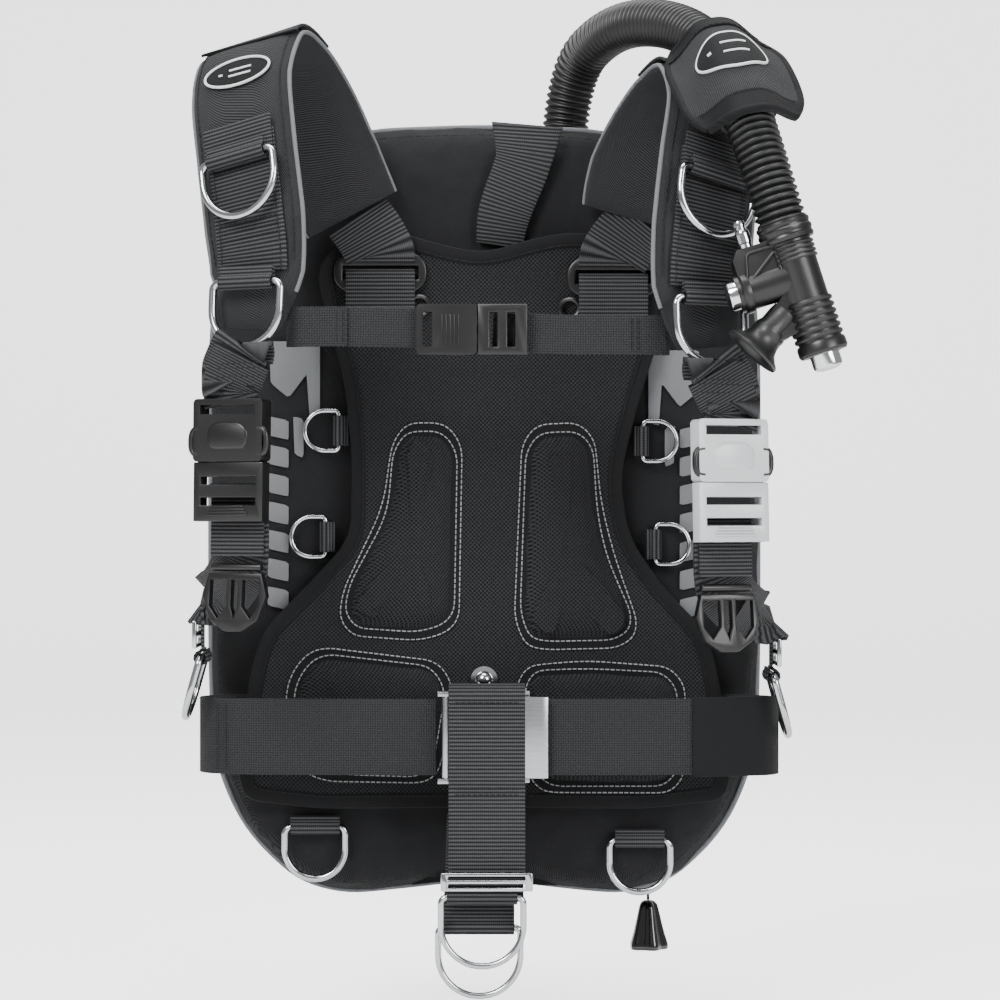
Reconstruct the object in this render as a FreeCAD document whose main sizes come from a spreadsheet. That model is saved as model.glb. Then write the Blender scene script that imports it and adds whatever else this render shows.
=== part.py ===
import FreeCAD, Part
import math
import os
import Sketcher

# Harness type buoyancy compensator vest, in millimetres.
# Row frame: the origin is on the axis of the air cylinder that the vest carries, level with the middle of
# the lower cylinder band.  +Z is up along the cylinder, the wearer stands on the -Y side and +X is to the
# right of someone who looks at the wearer's side of the vest.

Vector = FreeCAD.Vector
Placement = FreeCAD.Placement

doc = FreeCAD.newDocument("BuoyancyVest")
sheet = doc.addObject("Spreadsheet::Sheet", "Sizes")

SIZES = {
    # webbing
    "webbing_width": 50, "webbing_thickness": 2.4, "side_webbing_width": 38,
    "sternum_webbing_width": 25, "loop_thickness": 2.0,
    # cylinder and its two bands
    "cylinder_radius": 92, "band_spacing": 170, "band_tangent_angle": 68.3, "slot_play": 4,
    # layers from the cylinder to the wearer
    "panel_thickness": 3.5, "layer_gap": 0.5, "plate_thickness": 3, "pad_thickness": 10,
    "cushion_rise": 6, "wing_thickness": 42,
    # plate, wing and pad outlines
    "plate_width": 150, "plate_height": 350, "plate_drop": 100,
    "wing_width": 372, "wing_rise": 345, "wing_drop": 174, "wing_hole_width": 166,
    "pad_width": 330, "pad_waist": 180, "pad_top_width": 228, "pad_rise": 272, "pad_drop": 115,
    "screw_height": -28, "screw_hole": 5.7, "washer_diameter": 18,
    # shoulder straps
    "shoulder_width": 72, "shoulder_thickness": 12, "stitch_gap": 0.3,
    # rings: clear width of the bar side, depth and wire
    "chest_ring_width": 58, "chest_ring_drop": 9, "chest_ring_depth": 44, "chest_ring_wire": 5,
    "junction_ring_width": 54, "junction_ring_depth": 46,
    "lower_ring_width": 45, "lower_ring_depth": 39, "lower_ring_wire": 4.6,
    "side_ring_width": 30, "side_ring_depth": 26, "side_ring_wire": 3.2,
    "waist_ring_width": 50, "waist_ring_depth": 46,
    "crotch_ring_width": 58, "crotch_ring_depth": 49, "crotch_ring_wire": 4.2,
    "ring_play": 0.5,
    # side release buckles
    "side_buckle_width": 50, "side_buckle_thickness": 12, "sternum_buckle_width": 32,
    "sternum_buckle_thickness": 11, "buckle_wall": 2, "clip_play": 0.4,
    # waist belt and buckle
    "belt_height": -63.5, "belt_front": 152, "buckle_length": 66, "buckle_wire": 7,
    # hose and inflator
    "hose_diameter": 32, "hose_wall": 2.5, "sleeve_wall": 3.5, "button_radius": 9.5, "button_play": 0.3,
    "nipple_radius": 4.5, "barrel_radius": 14,
    # dump valve pull
    "dump_cord_diameter": 2, "knob_radius": 14, "knob_height": 34,
}


class Length:
    """A number of millimetres together with the sheet expression that gives it."""

    def __init__(self, number, text):
        self.number = number
        self.text = text

    def joined(self, other, number, sign):
        return Length(number, f"({self.text} {sign} {other.text})")

    def __add__(self, other):
        other = length(other)
        return self.joined(other, self.number + other.number, "+")

    def __sub__(self, other):
        other = length(other)
        return self.joined(other, self.number - other.number, "-")

    def __mul__(self, other):
        other = length(other)
        return self.joined(other, self.number * other.number, "*")

    def __truediv__(self, other):
        other = length(other)
        return self.joined(other, self.number / other.number, "/")

    def __radd__(self, other):
        return length(other) + self

    def __rsub__(self, other):
        return length(other) - self

    def __rmul__(self, other):
        return length(other) * self

    def __neg__(self):
        return Length(-self.number, f"(0 - {self.text})")


def length(value):
    """A plain number or a Length, as a Length."""
    if isinstance(value, Length):
        return value
    return Length(float(value), f"({float(value)})")


for row, (alias, number) in enumerate(SIZES.items(), start=1):
    sheet.set(f"A{row}", alias)
    sheet.set(f"B{row}", str(number))
    sheet.setAlias(f"B{row}", alias)
doc.recompute()


def size(alias):
    """One driving dimension, as a Length bound to its sheet cell."""
    return Length(float(sheet.get(alias)), f"Sizes.{alias}")


def mm(alias):
    """One driving dimension, as a plain number."""
    return size(alias).number


def bind(thing, path, value):
    """Binds a property to a Length's expression."""
    thing.setExpression(path, length(value).text)


# ---------------------------------------------------------------- sketches and features

PARTS = {}


def new_body(label):
    body = doc.addObject("PartDesign::Body", label)
    body.Label = label
    return body


def keep(label, item):
    """Marks a document object as the node that its label names."""
    item.Label = label
    PARTS[label] = item
    return item


def group(label, members):
    """Separate solids that share one node."""
    compound = doc.addObject("Part::Compound", label)
    compound.Links = members
    return keep(label, compound)


def new_sketch(body, role, middle=0, placement=None):
    """A sketch on one of the body's origin planes, moved along its normal by middle."""
    plane = next(f for f in body.Origin.OriginFeatures if f.Role == role)
    sketch = body.newObject("Sketcher::SketchObject", body.Name + "Sketch")
    sketch.AttachmentSupport = [(plane, "")]
    sketch.MapMode = "FlatFace"
    if placement is not None:
        sketch.AttachmentOffset = placement
        return sketch
    if role == "XZ_Plane":
        middle = -length(middle)
    sketch.AttachmentOffset = Placement(Vector(0, 0, length(middle).number), FreeCAD.Rotation())
    bind(sketch, "AttachmentOffset.Base.z", middle)
    return sketch


def draw_outline(sketch, points):
    """A closed outline of straight edges whose corners are held by their distances from the origin."""
    corners = [(length(x), length(y)) for x, y in points]
    first = sketch.GeometryCount
    count = len(corners)
    for i in range(count):
        start = Vector(corners[i][0].number, corners[i][1].number, 0)
        end_corner = corners[(i + 1) % count]
        end = Vector(end_corner[0].number, end_corner[1].number, 0)
        sketch.addGeometry(Part.LineSegment(start, end), False)
    for i in range(count):
        here = first + i
        after = first + (i + 1) % count
        sketch.addConstraint(Sketcher.Constraint("Coincident", here, 2, after, 1))
        for kind, value in zip(("DistanceX", "DistanceY"), corners[i]):
            place = sketch.addConstraint(Sketcher.Constraint(kind, -1, 1, here, 1, value.number))
            if "Sizes" in value.text:
                bind(sketch, f"Constraints[{place}]", value)


def draw_circle(sketch, x, y, diameter):
    """A circle held by its centre and its diameter."""
    x, y, diameter = length(x), length(y), length(diameter)
    here = sketch.GeometryCount
    sketch.addGeometry(Part.Circle(Vector(x.number, y.number, 0), Vector(0, 0, 1), diameter.number / 2), False)
    places = [
        ("Diameter", (here,), diameter),
        ("DistanceX", (-1, 1, here, 3), x),
        ("DistanceY", (-1, 1, here, 3), y),
    ]
    for kind, where, value in places:
        place = sketch.addConstraint(Sketcher.Constraint(kind, *where, value.number))
        if "Sizes" in value.text:
            bind(sketch, f"Constraints[{place}]", value)


def feature(body, kind, sketch, depth):
    """A pad or pocket that reaches half its depth to each side of its sketch."""
    made = body.newObject(f"PartDesign::{kind}", body.Name + kind)
    made.Profile = sketch
    if kind == "Pocket":
        made.Type = "Length"
    made.SideType = "Symmetric"
    bind(made, "Length", depth)
    doc.recompute()
    return made


def add_slab(body, role, points, middle, depth, kind="Pad"):
    sketch = new_sketch(body, role, middle)
    draw_outline(sketch, points)
    return feature(body, kind, sketch, depth)


def add_disc(body, role, x, y, diameter, middle, depth, kind="Pad"):
    sketch = new_sketch(body, role, middle)
    draw_circle(sketch, x, y, diameter)
    return feature(body, kind, sketch, depth)


def slab(label, role, points, middle, depth):
    body = new_body(label)
    add_slab(body, role, points, middle, depth)
    return body


def rectangle(x_low, x_high, y_low, y_high):
    return [(x_low, y_low), (x_high, y_low), (x_high, y_high), (x_low, y_high)]


def mirrored(half):
    """A whole outline from the half on the +X side, which starts and ends at x = 0."""
    other = [(-length(x), y) for x, y in half if length(x).number > 0]
    return half + other[::-1]


def round_edges(body, radius, wanted):
    """Fillets the edges of the body's tip for which wanted is true."""
    base = body.Tip
    names = [f"Edge{i + 1}" for i, edge in enumerate(base.Shape.Edges) if wanted(edge)]
    fillet = body.newObject("PartDesign::Fillet", body.Name + "Fillet")
    fillet.Base = (base, names)
    bind(fillet, "Radius", radius)
    doc.recompute()
    return fillet


def runs_along(direction):
    """A test for straight edges in one direction."""
    def test(edge):
        if edge.Curve.TypeId != "Part::GeomLine":
            return False
        return abs(abs(edge.Curve.Direction.dot(direction)) - 1) < 1e-6
    return test


def ribbon_outline(path, thickness):
    """The outline of a strip of one thickness along a path of straight runs, with mitred bends."""
    points = [Vector(x, y, 0) for x, y in path]
    sides = [[], []]
    for i, point in enumerate(points):
        before = (points[i] - points[i - 1]).normalize() if i > 0 else None
        after = (points[i + 1] - points[i]).normalize() if i < len(points) - 1 else None
        before = before or after
        after = after or before
        across = Vector(-(before.y + after.y), before.x + after.x, 0).normalize()
        reach = thickness / 2 / across.dot(Vector(-after.y, after.x, 0))
        sides[0].append((point.x + across.x * reach, point.y + across.y * reach))
        sides[1].append((point.x - across.x * reach, point.y - across.y * reach))
    return sides[0] + sides[1][::-1]


def ribbon(label, role, path, middle, width, thickness="webbing_thickness"):
    """A strap that bends in one plane: its edge outline, as wide as the webbing."""
    return slab(label, role, ribbon_outline(path, mm(thickness)), middle, width)


def axes_placement(place, across, up):
    """Local X along across and local Z as near to up as a square corner allows."""
    x_axis = Vector(across).normalize()
    z_axis = (Vector(up) - x_axis * Vector(up).dot(x_axis)).normalize()
    y_axis = z_axis.cross(x_axis)
    matrix = FreeCAD.Matrix(
        x_axis.x, y_axis.x, z_axis.x, place.x,
        x_axis.y, y_axis.y, z_axis.y, place.y,
        x_axis.z, y_axis.z, z_axis.z, place.z,
        0, 0, 0, 1)
    return Placement(matrix)


# ---------------------------------------------------------------- straps that bend and twist


class Station:
    """One section of a strap: its middle, the direction across its width and its share of the full width."""

    def __init__(self, place, across, share=1.0):
        self.place = Vector(*place)
        self.across = Vector(*across)
        self.share = share


def station_frames(stations):
    """For each station its placement: local X across, local Z along the strap, local Y its outer face."""
    frames = []
    for i, station in enumerate(stations):
        before = stations[max(i - 1, 0)].place
        after = stations[min(i + 1, len(stations) - 1)].place
        along = (after - before).normalize()
        across = station.across - along * station.across.dot(along)
        frames.append(axes_placement(station.place, across, along))
    return frames


def lofted_strap(label, stations, width, thickness, lift=0.0):
    """A strap lofted through its stations, moved outwards from them by lift."""
    body = new_body(label)
    sections = []
    for station, frame in zip(stations, station_frames(stations)):
        outward = frame.Rotation.multVec(Vector(0, 1, 0))
        moved = Placement(frame.Base + outward * lift, frame.Rotation)
        sketch = new_sketch(body, "XY_Plane", placement=moved)
        half = width * station.share / 2
        draw_outline(sketch, rectangle(-half, half, -thickness / 2, thickness / 2))
        sections.append(sketch)
    loft = body.newObject("PartDesign::AdditiveLoft", label + "Loft")
    loft.Profile = sections[0]
    loft.Sections = sections[1:]
    loft.Ruled = True
    doc.recompute()
    return body


# ---------------------------------------------------------------- rings, loops and buckles


def d_ring(label, width, depth, wire):
    """A D-ring: its bar lies along local X through the origin and its bow hangs along local -Z."""
    body = new_body(label)
    half = (width.number - wire.number) / 2
    reach = depth.number - wire.number
    corner = wire.number
    leg = max(reach - half, corner)
    bow_depth = reach - leg
    path = new_sketch(body, "XZ_Plane")
    bow_radius = (half * half + bow_depth * bow_depth) / (2 * bow_depth)
    bow_angle = math.asin(min(half / bow_radius, 1.0))
    bow_middle = Vector(0, -leg - bow_depth + bow_radius, 0)
    up = Vector(0, 0, 1)
    path.addGeometry([
        Part.LineSegment(Vector(-half + corner, 0, 0), Vector(half - corner, 0, 0)),
        Part.ArcOfCircle(Part.Circle(Vector(half - corner, -corner, 0), up, corner), 0, math.pi / 2),
        Part.LineSegment(Vector(half, -corner, 0), Vector(half, -leg, 0)),
        Part.ArcOfCircle(
            Part.Circle(bow_middle, up, bow_radius), 1.5 * math.pi - bow_angle, 1.5 * math.pi + bow_angle
        ),
        Part.LineSegment(Vector(-half, -leg, 0), Vector(-half, -corner, 0)),
        Part.ArcOfCircle(Part.Circle(Vector(-half + corner, -corner, 0), up, corner), math.pi / 2, math.pi),
    ], False)
    section = new_sketch(body, "YZ_Plane")
    draw_circle(section, 0, 0, wire)
    doc.recompute()
    pipe = body.newObject("PartDesign::AdditivePipe", label + "Wire")
    pipe.Profile = section
    pipe.Spine = (path, [f"Edge{i + 1}" for i in range(6)])
    pipe.Transition = "Right corner"
    doc.recompute()
    return body


def webbing_loop(label, width, wire, tail):
    """A strip of webbing folded round a ring's bar, with its two layers sewn together for tail above it."""
    body = new_body(label)
    hole = wire + size("ring_play") * 2
    outside = hole + size("loop_thickness") * 2
    half_stack = size("loop_thickness")
    add_disc(body, "YZ_Plane", 0, 0, outside, 0, width)
    add_slab(body, "YZ_Plane", rectangle(-half_stack, half_stack, 0, outside / 2 + tail), 0, width)
    add_disc(body, "YZ_Plane", 0, 0, hole, 0, width * 2, "Pocket")
    return body


def buckle_socket(label, width, thickness, depth):
    """The socket half of a side release buckle: its mouth is at local z = 0 and opens along -Z."""
    body = new_body(label)
    half = width / 2
    wall = size("buckle_wall")
    slot_half = half - wall * 2.5
    add_slab(body, "XZ_Plane", rectangle(-half, half, 0, depth + 12), 0, thickness)
    round_edges(body, wall * 1.5, runs_along(Vector(0, 1, 0)))
    cavity = rectangle(-(half - wall), half - wall, -1, depth - 4)
    add_slab(body, "XZ_Plane", cavity, 0, thickness - wall * 2, "Pocket")
    window = rectangle(-half - 1, -half + wall * 4, 7, 19)
    add_slab(body, "XZ_Plane", window, 0, thickness * 0.7, "Pocket")
    window = rectangle(half - wall * 4, half + 1, 7, 19)
    add_slab(body, "XZ_Plane", window, 0, thickness * 0.7, "Pocket")
    slot = rectangle(-slot_half, slot_half, depth + 2, depth + 8)
    add_slab(body, "XZ_Plane", slot, 0, thickness * 2, "Pocket")
    return body


def buckle_clip(label, width, thickness, depth, tail):
    """The clip half: two prongs and a guide reach up into the socket, and the strap threads its two slots."""
    body = new_body(label)
    half = width / 2
    wall = size("buckle_wall")
    play = size("clip_play")
    inner = half - wall - play
    prong = wall * 2.5
    blade = thickness - wall * 2 - play * 2
    slot_half = half - wall * 2.5
    add_slab(body, "XZ_Plane", rectangle(-half, half, -tail, -play), 0, thickness * 0.8)
    for low, high in ((-inner, -inner + prong), (inner - prong, inner), (-prong / 2, prong / 2)):
        add_slab(body, "XZ_Plane", rectangle(low, high, -2, depth - 8), 0, blade)
    for top in (tail * 0.25, tail * 0.6):
        slot = rectangle(-slot_half, slot_half, -top - 5, -top)
        add_slab(body, "XZ_Plane", slot, 0, thickness * 2, "Pocket")
    return body


# ---------------------------------------------------------------- layers between cylinder and wearer

radius = size("cylinder_radius")
gap = size("layer_gap")
panel_back = radius + gap
panel_front = panel_back + size("panel_thickness")
plate_back = panel_front + gap
plate_front = plate_back + size("plate_thickness")
webbing = size("webbing_thickness")
strap_middle = plate_front + gap + webbing / 2
pad_back = plate_front + gap * 2 + webbing + 0.2
pad_front = pad_back + size("pad_thickness")
wing_front = plate_front + gap - 0.8

# The bands leave the cylinder at this angle from the -Y direction, on a tangent to the plate's slots.
tangent = math.radians(mm("band_tangent_angle"))


def tangent_x(reach, depth):
    """Where the tangent from a circle of this radius crosses the plane y = -depth."""
    run = (depth - reach * math.cos(tangent)) / math.sin(tangent)
    return reach * math.sin(tangent) - run * math.cos(tangent)


def band_wire(reach, depth):
    """One closed edge of a band: across the plate, along both tangents and round the cylinder."""
    foot = tangent_x(reach, depth)
    touch_x, touch_y = reach * math.sin(tangent), -reach * math.cos(tangent)
    return [
        Part.LineSegment(Vector(-foot, -depth, 0), Vector(foot, -depth, 0)),
        Part.LineSegment(Vector(foot, -depth, 0), Vector(touch_x, touch_y, 0)),
        Part.ArcOfCircle(Part.Circle(Vector(0, 0, 0), Vector(0, 0, 1), reach),
                         tangent - math.pi / 2, 1.5 * math.pi - tangent),
        Part.LineSegment(Vector(-touch_x, touch_y, 0), Vector(-foot, -depth, 0)),
    ]


def cylinder_band(label, height):
    body = new_body(label)
    sketch = new_sketch(body, "XY_Plane", height)
    inner_depth = strap_middle.number - webbing.number / 2
    sketch.addGeometry(band_wire(radius.number, inner_depth), False)
    sketch.addGeometry(band_wire(radius.number + webbing.number, inner_depth + webbing.number), False)
    feature(body, "Pad", sketch, size("webbing_width"))
    return body


band_heights = {"lower": length(0), "upper": size("band_spacing")}
group("cylinder_bands", [cylinder_band(f"{name}_band", height) for name, height in band_heights.items()])


def cut_band_slots(body, middle, thickness, near, far):
    """Slots for both bands, from near to far of the centre line on each side."""
    half = size("webbing_width") / 2 + size("slot_play") / 2
    for height in band_heights.values():
        for side in (1, -1):
            edges = sorted((side * near, side * far))
            slot = rectangle(edges[0], edges[1], height - half, height + half)
            add_slab(body, "XZ_Plane", slot, middle, thickness, "Pocket")


plate = new_body("backplate")
plate_half = size("plate_width") / 2
plate_top = size("plate_height") - size("plate_drop")
plate_bottom = -size("plate_drop")
plate_middle = -(plate_back + plate_front) / 2
add_slab(plate, "XZ_Plane", mirrored([
    (0, plate_bottom), (plate_half - 20, plate_bottom), (plate_half, plate_bottom + 20),
    (plate_half, plate_top - 60), (plate_half - 30, plate_top), (24, plate_top), (0, plate_top - 12),
]), plate_middle, size("plate_thickness"))
band_outside = radius.number + webbing.number
plate_slot = (tangent_x(radius.number, plate_back.number), tangent_x(band_outside, plate_back.number))
cut_band_slots(plate, plate_middle, size("plate_thickness") * 3, plate_slot[0] - 2.5, plate_slot[1] + 1)
add_disc(plate, "XZ_Plane", 0, size("screw_height"), size("screw_hole"), plate_middle,
         size("plate_thickness") * 3, "Pocket")
keep("backplate", plate)

wing = new_body("wing")
wing_half = size("wing_width") / 2
wing_top = size("wing_rise")
wing_bottom = -size("wing_drop")
wing_middle = -(wing_front - size("wing_thickness") / 2)
hole_half = size("wing_hole_width") / 2
add_slab(wing, "XZ_Plane", mirrored([
    (0, wing_bottom + 10), (60, wing_bottom + 3), (95, wing_bottom), (125, wing_bottom + 9),
    (165, wing_bottom + 49), (wing_half - 2, wing_bottom + 97), (wing_half, wing_bottom + 165),
    (wing_half, wing_top - 155), (wing_half - 6, wing_top - 75), (146, wing_top - 27), (82, wing_top - 3),
    (0, wing_top),
]), wing_middle, size("wing_thickness"))
hole_bottom, hole_top = -101, 262
add_slab(wing, "XZ_Plane", mirrored([
    (0, hole_bottom), (60, hole_bottom), (hole_half, hole_bottom + 23), (hole_half, hole_top - 24),
    (60, hole_top), (0, hole_top),
]), wing_middle, size("wing_thickness") * 2, "Pocket")
# Below the hole's top the cell is pressed hollow, so that the cylinder can slide up from below.
channel_foot = wing_bottom - 6
channel_middle, channel_length = (channel_foot + hole_top) / 2, hole_top - channel_foot
add_disc(wing, "XY_Plane", 0, 0, panel_back * 2, channel_middle, channel_length, "Pocket")
panel_middle = -(panel_back + panel_front) / 2
PANEL_LAP = 4
panel = rectangle(-hole_half - PANEL_LAP, hole_half + PANEL_LAP, hole_bottom - PANEL_LAP, hole_top + PANEL_LAP)
panel_thickness = size("panel_thickness")
add_slab(wing, "XZ_Plane", panel, panel_middle, panel_thickness)
cut_band_slots(wing, panel_middle, size("panel_thickness") * 2, plate_slot[0] - 1, plate_slot[1] + 4)
nut_hole = 16
add_disc(wing, "XZ_Plane", 0, size("screw_height"), nut_hole, panel_middle, panel_thickness * 2, "Pocket")
keep("wing", wing)

pad = new_body("back_pad")
pad_half = size("pad_width") / 2
waist_half = size("pad_waist") / 2
top_half = size("pad_top_width") / 2
pad_top = size("pad_rise")
pad_bottom = -size("pad_drop")
pad_middle = -(pad_back + pad_front) / 2
pad_foot = [
    (110, pad_bottom), (pad_half - 4, pad_bottom + 8), (pad_half, pad_bottom + 24), (pad_half - 8, -30),
    (pad_half - 16, 3), (waist_half + 28, 35),
]
pad_crown = [(top_half, pad_top - 27), (top_half - 13, pad_top - 10), (62, pad_top), (32, pad_top - 6)]
# The waist is cut a little deeper on the left.
right_flank = [(waist_half + 5, 70), (waist_half, 110), (waist_half + 13, 158), (top_half + 3, 200)]
left_flank = [(waist_half - 1, 66), (waist_half - 2, 120), (waist_half + 3, 172), (top_half - 8, 215)]
right_edge = pad_foot + right_flank + pad_crown
left_edge = [(-length(x), z) for x, z in pad_foot + left_flank + pad_crown]
add_slab(pad, "XZ_Plane", [(0, pad_bottom + 1)] + right_edge + [(0, pad_top - 16)] + left_edge[::-1],
         pad_middle, size("pad_thickness"))
cushion_middle = -(pad_front + size("cushion_rise") / 2 - 0.5)
cushions = [
    [(12, 120), (38, 143), (60, 125), (98, 16), (90, 1), (40, -5), (19, 6)],
    [(19, -32), (31, -10), (114, -8), (131, -32), (131, -80), (108, -96), (32, -98)],
]
for outline in cushions:
    for side in (1, -1):
        points = [(side * x, z) for x, z in outline]
        add_slab(pad, "XZ_Plane", points, cushion_middle, size("cushion_rise") + 1)
through_pad = size("pad_thickness") * 3
add_disc(pad, "XZ_Plane", 0, size("screw_height"), size("screw_hole"), pad_middle, through_pad, "Pocket")
keep("back_pad", pad)

# The book screw: a slotted dome head on a washer in front, and a sleeve nut with a flange behind the plate.
screw = new_body("screw")
shank = size("screw_hole") - 0.7
screw_height = size("screw_height")
washer_middle = -(pad_front + 0.3 + 0.6)
add_disc(screw, "XZ_Plane", 0, screw_height, size("washer_diameter"), washer_middle, 1.2)
head = screw.newObject("PartDesign::AdditiveSphere", "screw_head")
head.Radius = 6
head.Angle1 = 0
head.Angle2 = 90
head.AttachmentOffset = Placement(Vector(0, 0, 0), FreeCAD.Rotation())
head.Placement = Placement(Vector(0, -(pad_front.number + 1.4), screw_height.number),
                           FreeCAD.Rotation(Vector(1, 0, 0), 90))
doc.recompute()
shank_back = -(panel_front - 1)
shank_front = -(pad_front + 1)
add_disc(screw, "XZ_Plane", 0, screw_height, shank, (shank_back + shank_front) / 2, shank_back - shank_front)
slot_depth = -(pad_front + 7.6)
add_slab(screw, "XZ_Plane", rectangle(-7, 7, screw_height - 0.6, screw_height + 0.6), slot_depth, 3, "Pocket")
nut = new_body("screw_nut")
nut_middle = -(plate_back - 0.2 - 1.5)
add_disc(nut, "XZ_Plane", 0, screw_height, 12, nut_middle, 2.6)
add_disc(nut, "XZ_Plane", 0, screw_height, shank + 0.6, nut_middle, 10, "Pocket")
group("book_screw", [screw, nut])

# The carry handle lies on the front of the wing, above the pad's dip.
keep("top_handle", slab("top_handle", "XZ_Plane", [(9, wing_top - 1), (-3, 262), (23, 262), (48, wing_top - 1)],
                        -(wing_front + 0.4 + webbing / 2), webbing))

# ---------------------------------------------------------------- shoulder straps

# Each strap rises from behind the pad, turns over the shoulder and hangs down in front of it.
STRAPS = {
    "left": [
        Station((-88, -110, 282), (1, 0, 0.1), 0.9),
        Station((-104, -116, 312), (1, 0, 0.1)),
        Station((-121, -126, 350), (1, -0.1, 0.1)),
        Station((-136, -144, 376), (1, -0.2, 0.15)),
        Station((-149, -168, 384), (0.93, -0.3, 0.25)),
        Station((-155, -190, 358), (0.88, -0.42, 0.2)),
        Station((-151, -204, 316), (0.88, -0.45, 0.15)),
        Station((-145, -213, 268), (0.88, -0.45, 0.08)),
        Station((-143, -217, 236), (0.88, -0.42, 0.05), 0.92),
        Station((-147, -219, 200), (0.88, -0.4, 0.05), 0.55),
    ],
    "right": [
        Station((98, -110, 280), (1, 0, -0.1), 0.9),
        Station((106, -116, 306), (1, 0, -0.1)),
        Station((121, -126, 336), (1, 0.1, -0.1)),
        Station((135, -144, 357), (1, 0.2, -0.15)),
        Station((146, -168, 363), (0.93, 0.3, -0.25)),
        Station((150, -190, 342), (0.88, 0.42, -0.2)),
        Station((144, -204, 304), (0.88, 0.45, -0.15)),
        Station((139, -213, 260), (0.88, 0.45, -0.08)),
        Station((137, -217, 226), (0.88, 0.42, -0.05), 0.92),
        Station((141, -219, 188), (0.88, 0.4, -0.05), 0.55),
    ],
}
RING_SLOT, CREST, SLEEVE_SLOT, LAST_WEBBING = 6, 4, 5, 8
pad_half_thick = mm("shoulder_thickness") / 2
webbing_lift = pad_half_thick + mm("stitch_gap") + webbing.number / 2
webbing_face = webbing_lift + webbing.number / 2


def on_strap(side, index, lift, down=0.0, sideways=0.0):
    """A placement on a shoulder strap: local -Z runs down the strap and local -Y faces outwards."""
    frame = station_frames(STRAPS[side])[index]
    along = frame.Rotation.multVec(Vector(0, 0, 1))
    outward = frame.Rotation.multVec(Vector(0, 1, 0))
    across = frame.Rotation.multVec(Vector(1, 0, 0))
    return axes_placement(frame.Base + outward * lift + along * down + across * sideways, across, -along)


strap_webbings = []
junction_rings = []
strap_wire = size("chest_ring_wire")
ring_loop_lift = webbing_face + mm("chest_ring_wire") / 2 + mm("ring_play") + mm("loop_thickness") + 0.3
for side, stations in STRAPS.items():
    strap = lofted_strap(f"{side}_shoulder_pad", stations, mm("shoulder_width"), mm("shoulder_thickness"))
    keep(f"{side}_shoulder_pad", strap)
    front = stations[SLEEVE_SLOT:LAST_WEBBING + 1]
    flat = [Station(s.place, s.across) for s in front]
    strap_webbings.append(lofted_strap(f"{side}_front_webbing", flat, mm("webbing_width"), webbing.number,
                                       webbing_lift))
    loop = webbing_loop(f"{side}_chest_loop", size("chest_ring_width") - 16, strap_wire, 4)
    ring_place = on_strap(side, RING_SLOT, ring_loop_lift, mm("chest_ring_drop"))
    loop.Placement = ring_place
    strap_webbings.append(loop)
    ring = d_ring(f"{side}_chest_ring", size("chest_ring_width"), size("chest_ring_depth"), strap_wire)
    ring.Placement = ring_place
    keep(f"{side}_chest_ring", ring)
    junction = d_ring(f"{side}_junction_ring", size("junction_ring_width"), size("junction_ring_depth"),
                      size("chest_ring_wire"))
    junction_place = on_strap(side, LAST_WEBBING, ring_loop_lift, 8)
    junction.Placement = junction_place
    junction_rings.append(junction)
    loop = webbing_loop(f"{side}_junction_loop", size("junction_ring_width") - 16, size("chest_ring_wire"), 6)
    loop.Placement = junction_place
    strap_webbings.append(loop)
    rear_x = -69 if side == "left" else 86
    tongue_path = [(-(pad_front + 6.5).number, 213), (-(pad_front + 6.5).number, 237)]
    tongue = ribbon(f"{side}_pad_tongue", "YZ_Plane", tongue_path, rear_x, size("webbing_width") - 4)
    strap_webbings.append(tongue)
group("shoulder_webbings", strap_webbings)
group("junction_rings", junction_rings)

# Oval slot frames on the pad's shoulders, which the shoulder webbing threads.
frames = []
for side, middle_x, middle_z in (("left", -69, 243), ("right", 86, 240)):
    frame = new_body(f"{side}_slot_frame")
    frame_middle = -(pad_front + 0.4 + 2)
    add_slab(frame, "XZ_Plane", rectangle(middle_x - 31, middle_x + 31, middle_z - 13, middle_z + 13),
             frame_middle, 4)
    round_edges(frame, 12, runs_along(Vector(0, 1, 0)))
    add_slab(frame, "XZ_Plane", rectangle(middle_x - 25, middle_x + 25, middle_z - 4.5, middle_z + 4.5),
             frame_middle, 8, "Pocket")
    frames.append(frame)
group("pad_slot_frames", frames)

# ---------------------------------------------------------------- sternum strap

sternum_width = size("sternum_webbing_width")
sternum_y = -234.0
left_end, right_end = Vector(-118, -229, 203), Vector(116, -229, 194)
socket_place = axes_placement(Vector(-4, sternum_y, 199), Vector(0, 0, 1), Vector(-1, 0, 0.035))
SOCKET_DEPTH = 26
socket = buckle_socket("sternum_buckle_socket", size("sternum_buckle_width"), size("sternum_buckle_thickness"),
                       SOCKET_DEPTH)
socket.Placement = socket_place
keep("sternum_buckle_socket", socket)
clip = buckle_clip("sternum_buckle_clip", size("sternum_buckle_width"), size("sternum_buckle_thickness"),
                   SOCKET_DEPTH, 32)
clip.Placement = socket_place
keep("sternum_buckle_clip", clip)
left_strap = ribbon("left_sternum_strap", "XY_Plane", [(-118, -224), (-111, -230), (-98, -233), (-43.5, -234)],
                    201, sternum_width)
right_strap = ribbon("right_sternum_strap", "XY_Plane", [(6, -226.3), (58, -226.3), (98, -227), (112, -221)],
                     196, sternum_width)
group("sternum_straps", [left_strap, right_strap])

# ---------------------------------------------------------------- side straps with their buckles

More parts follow.
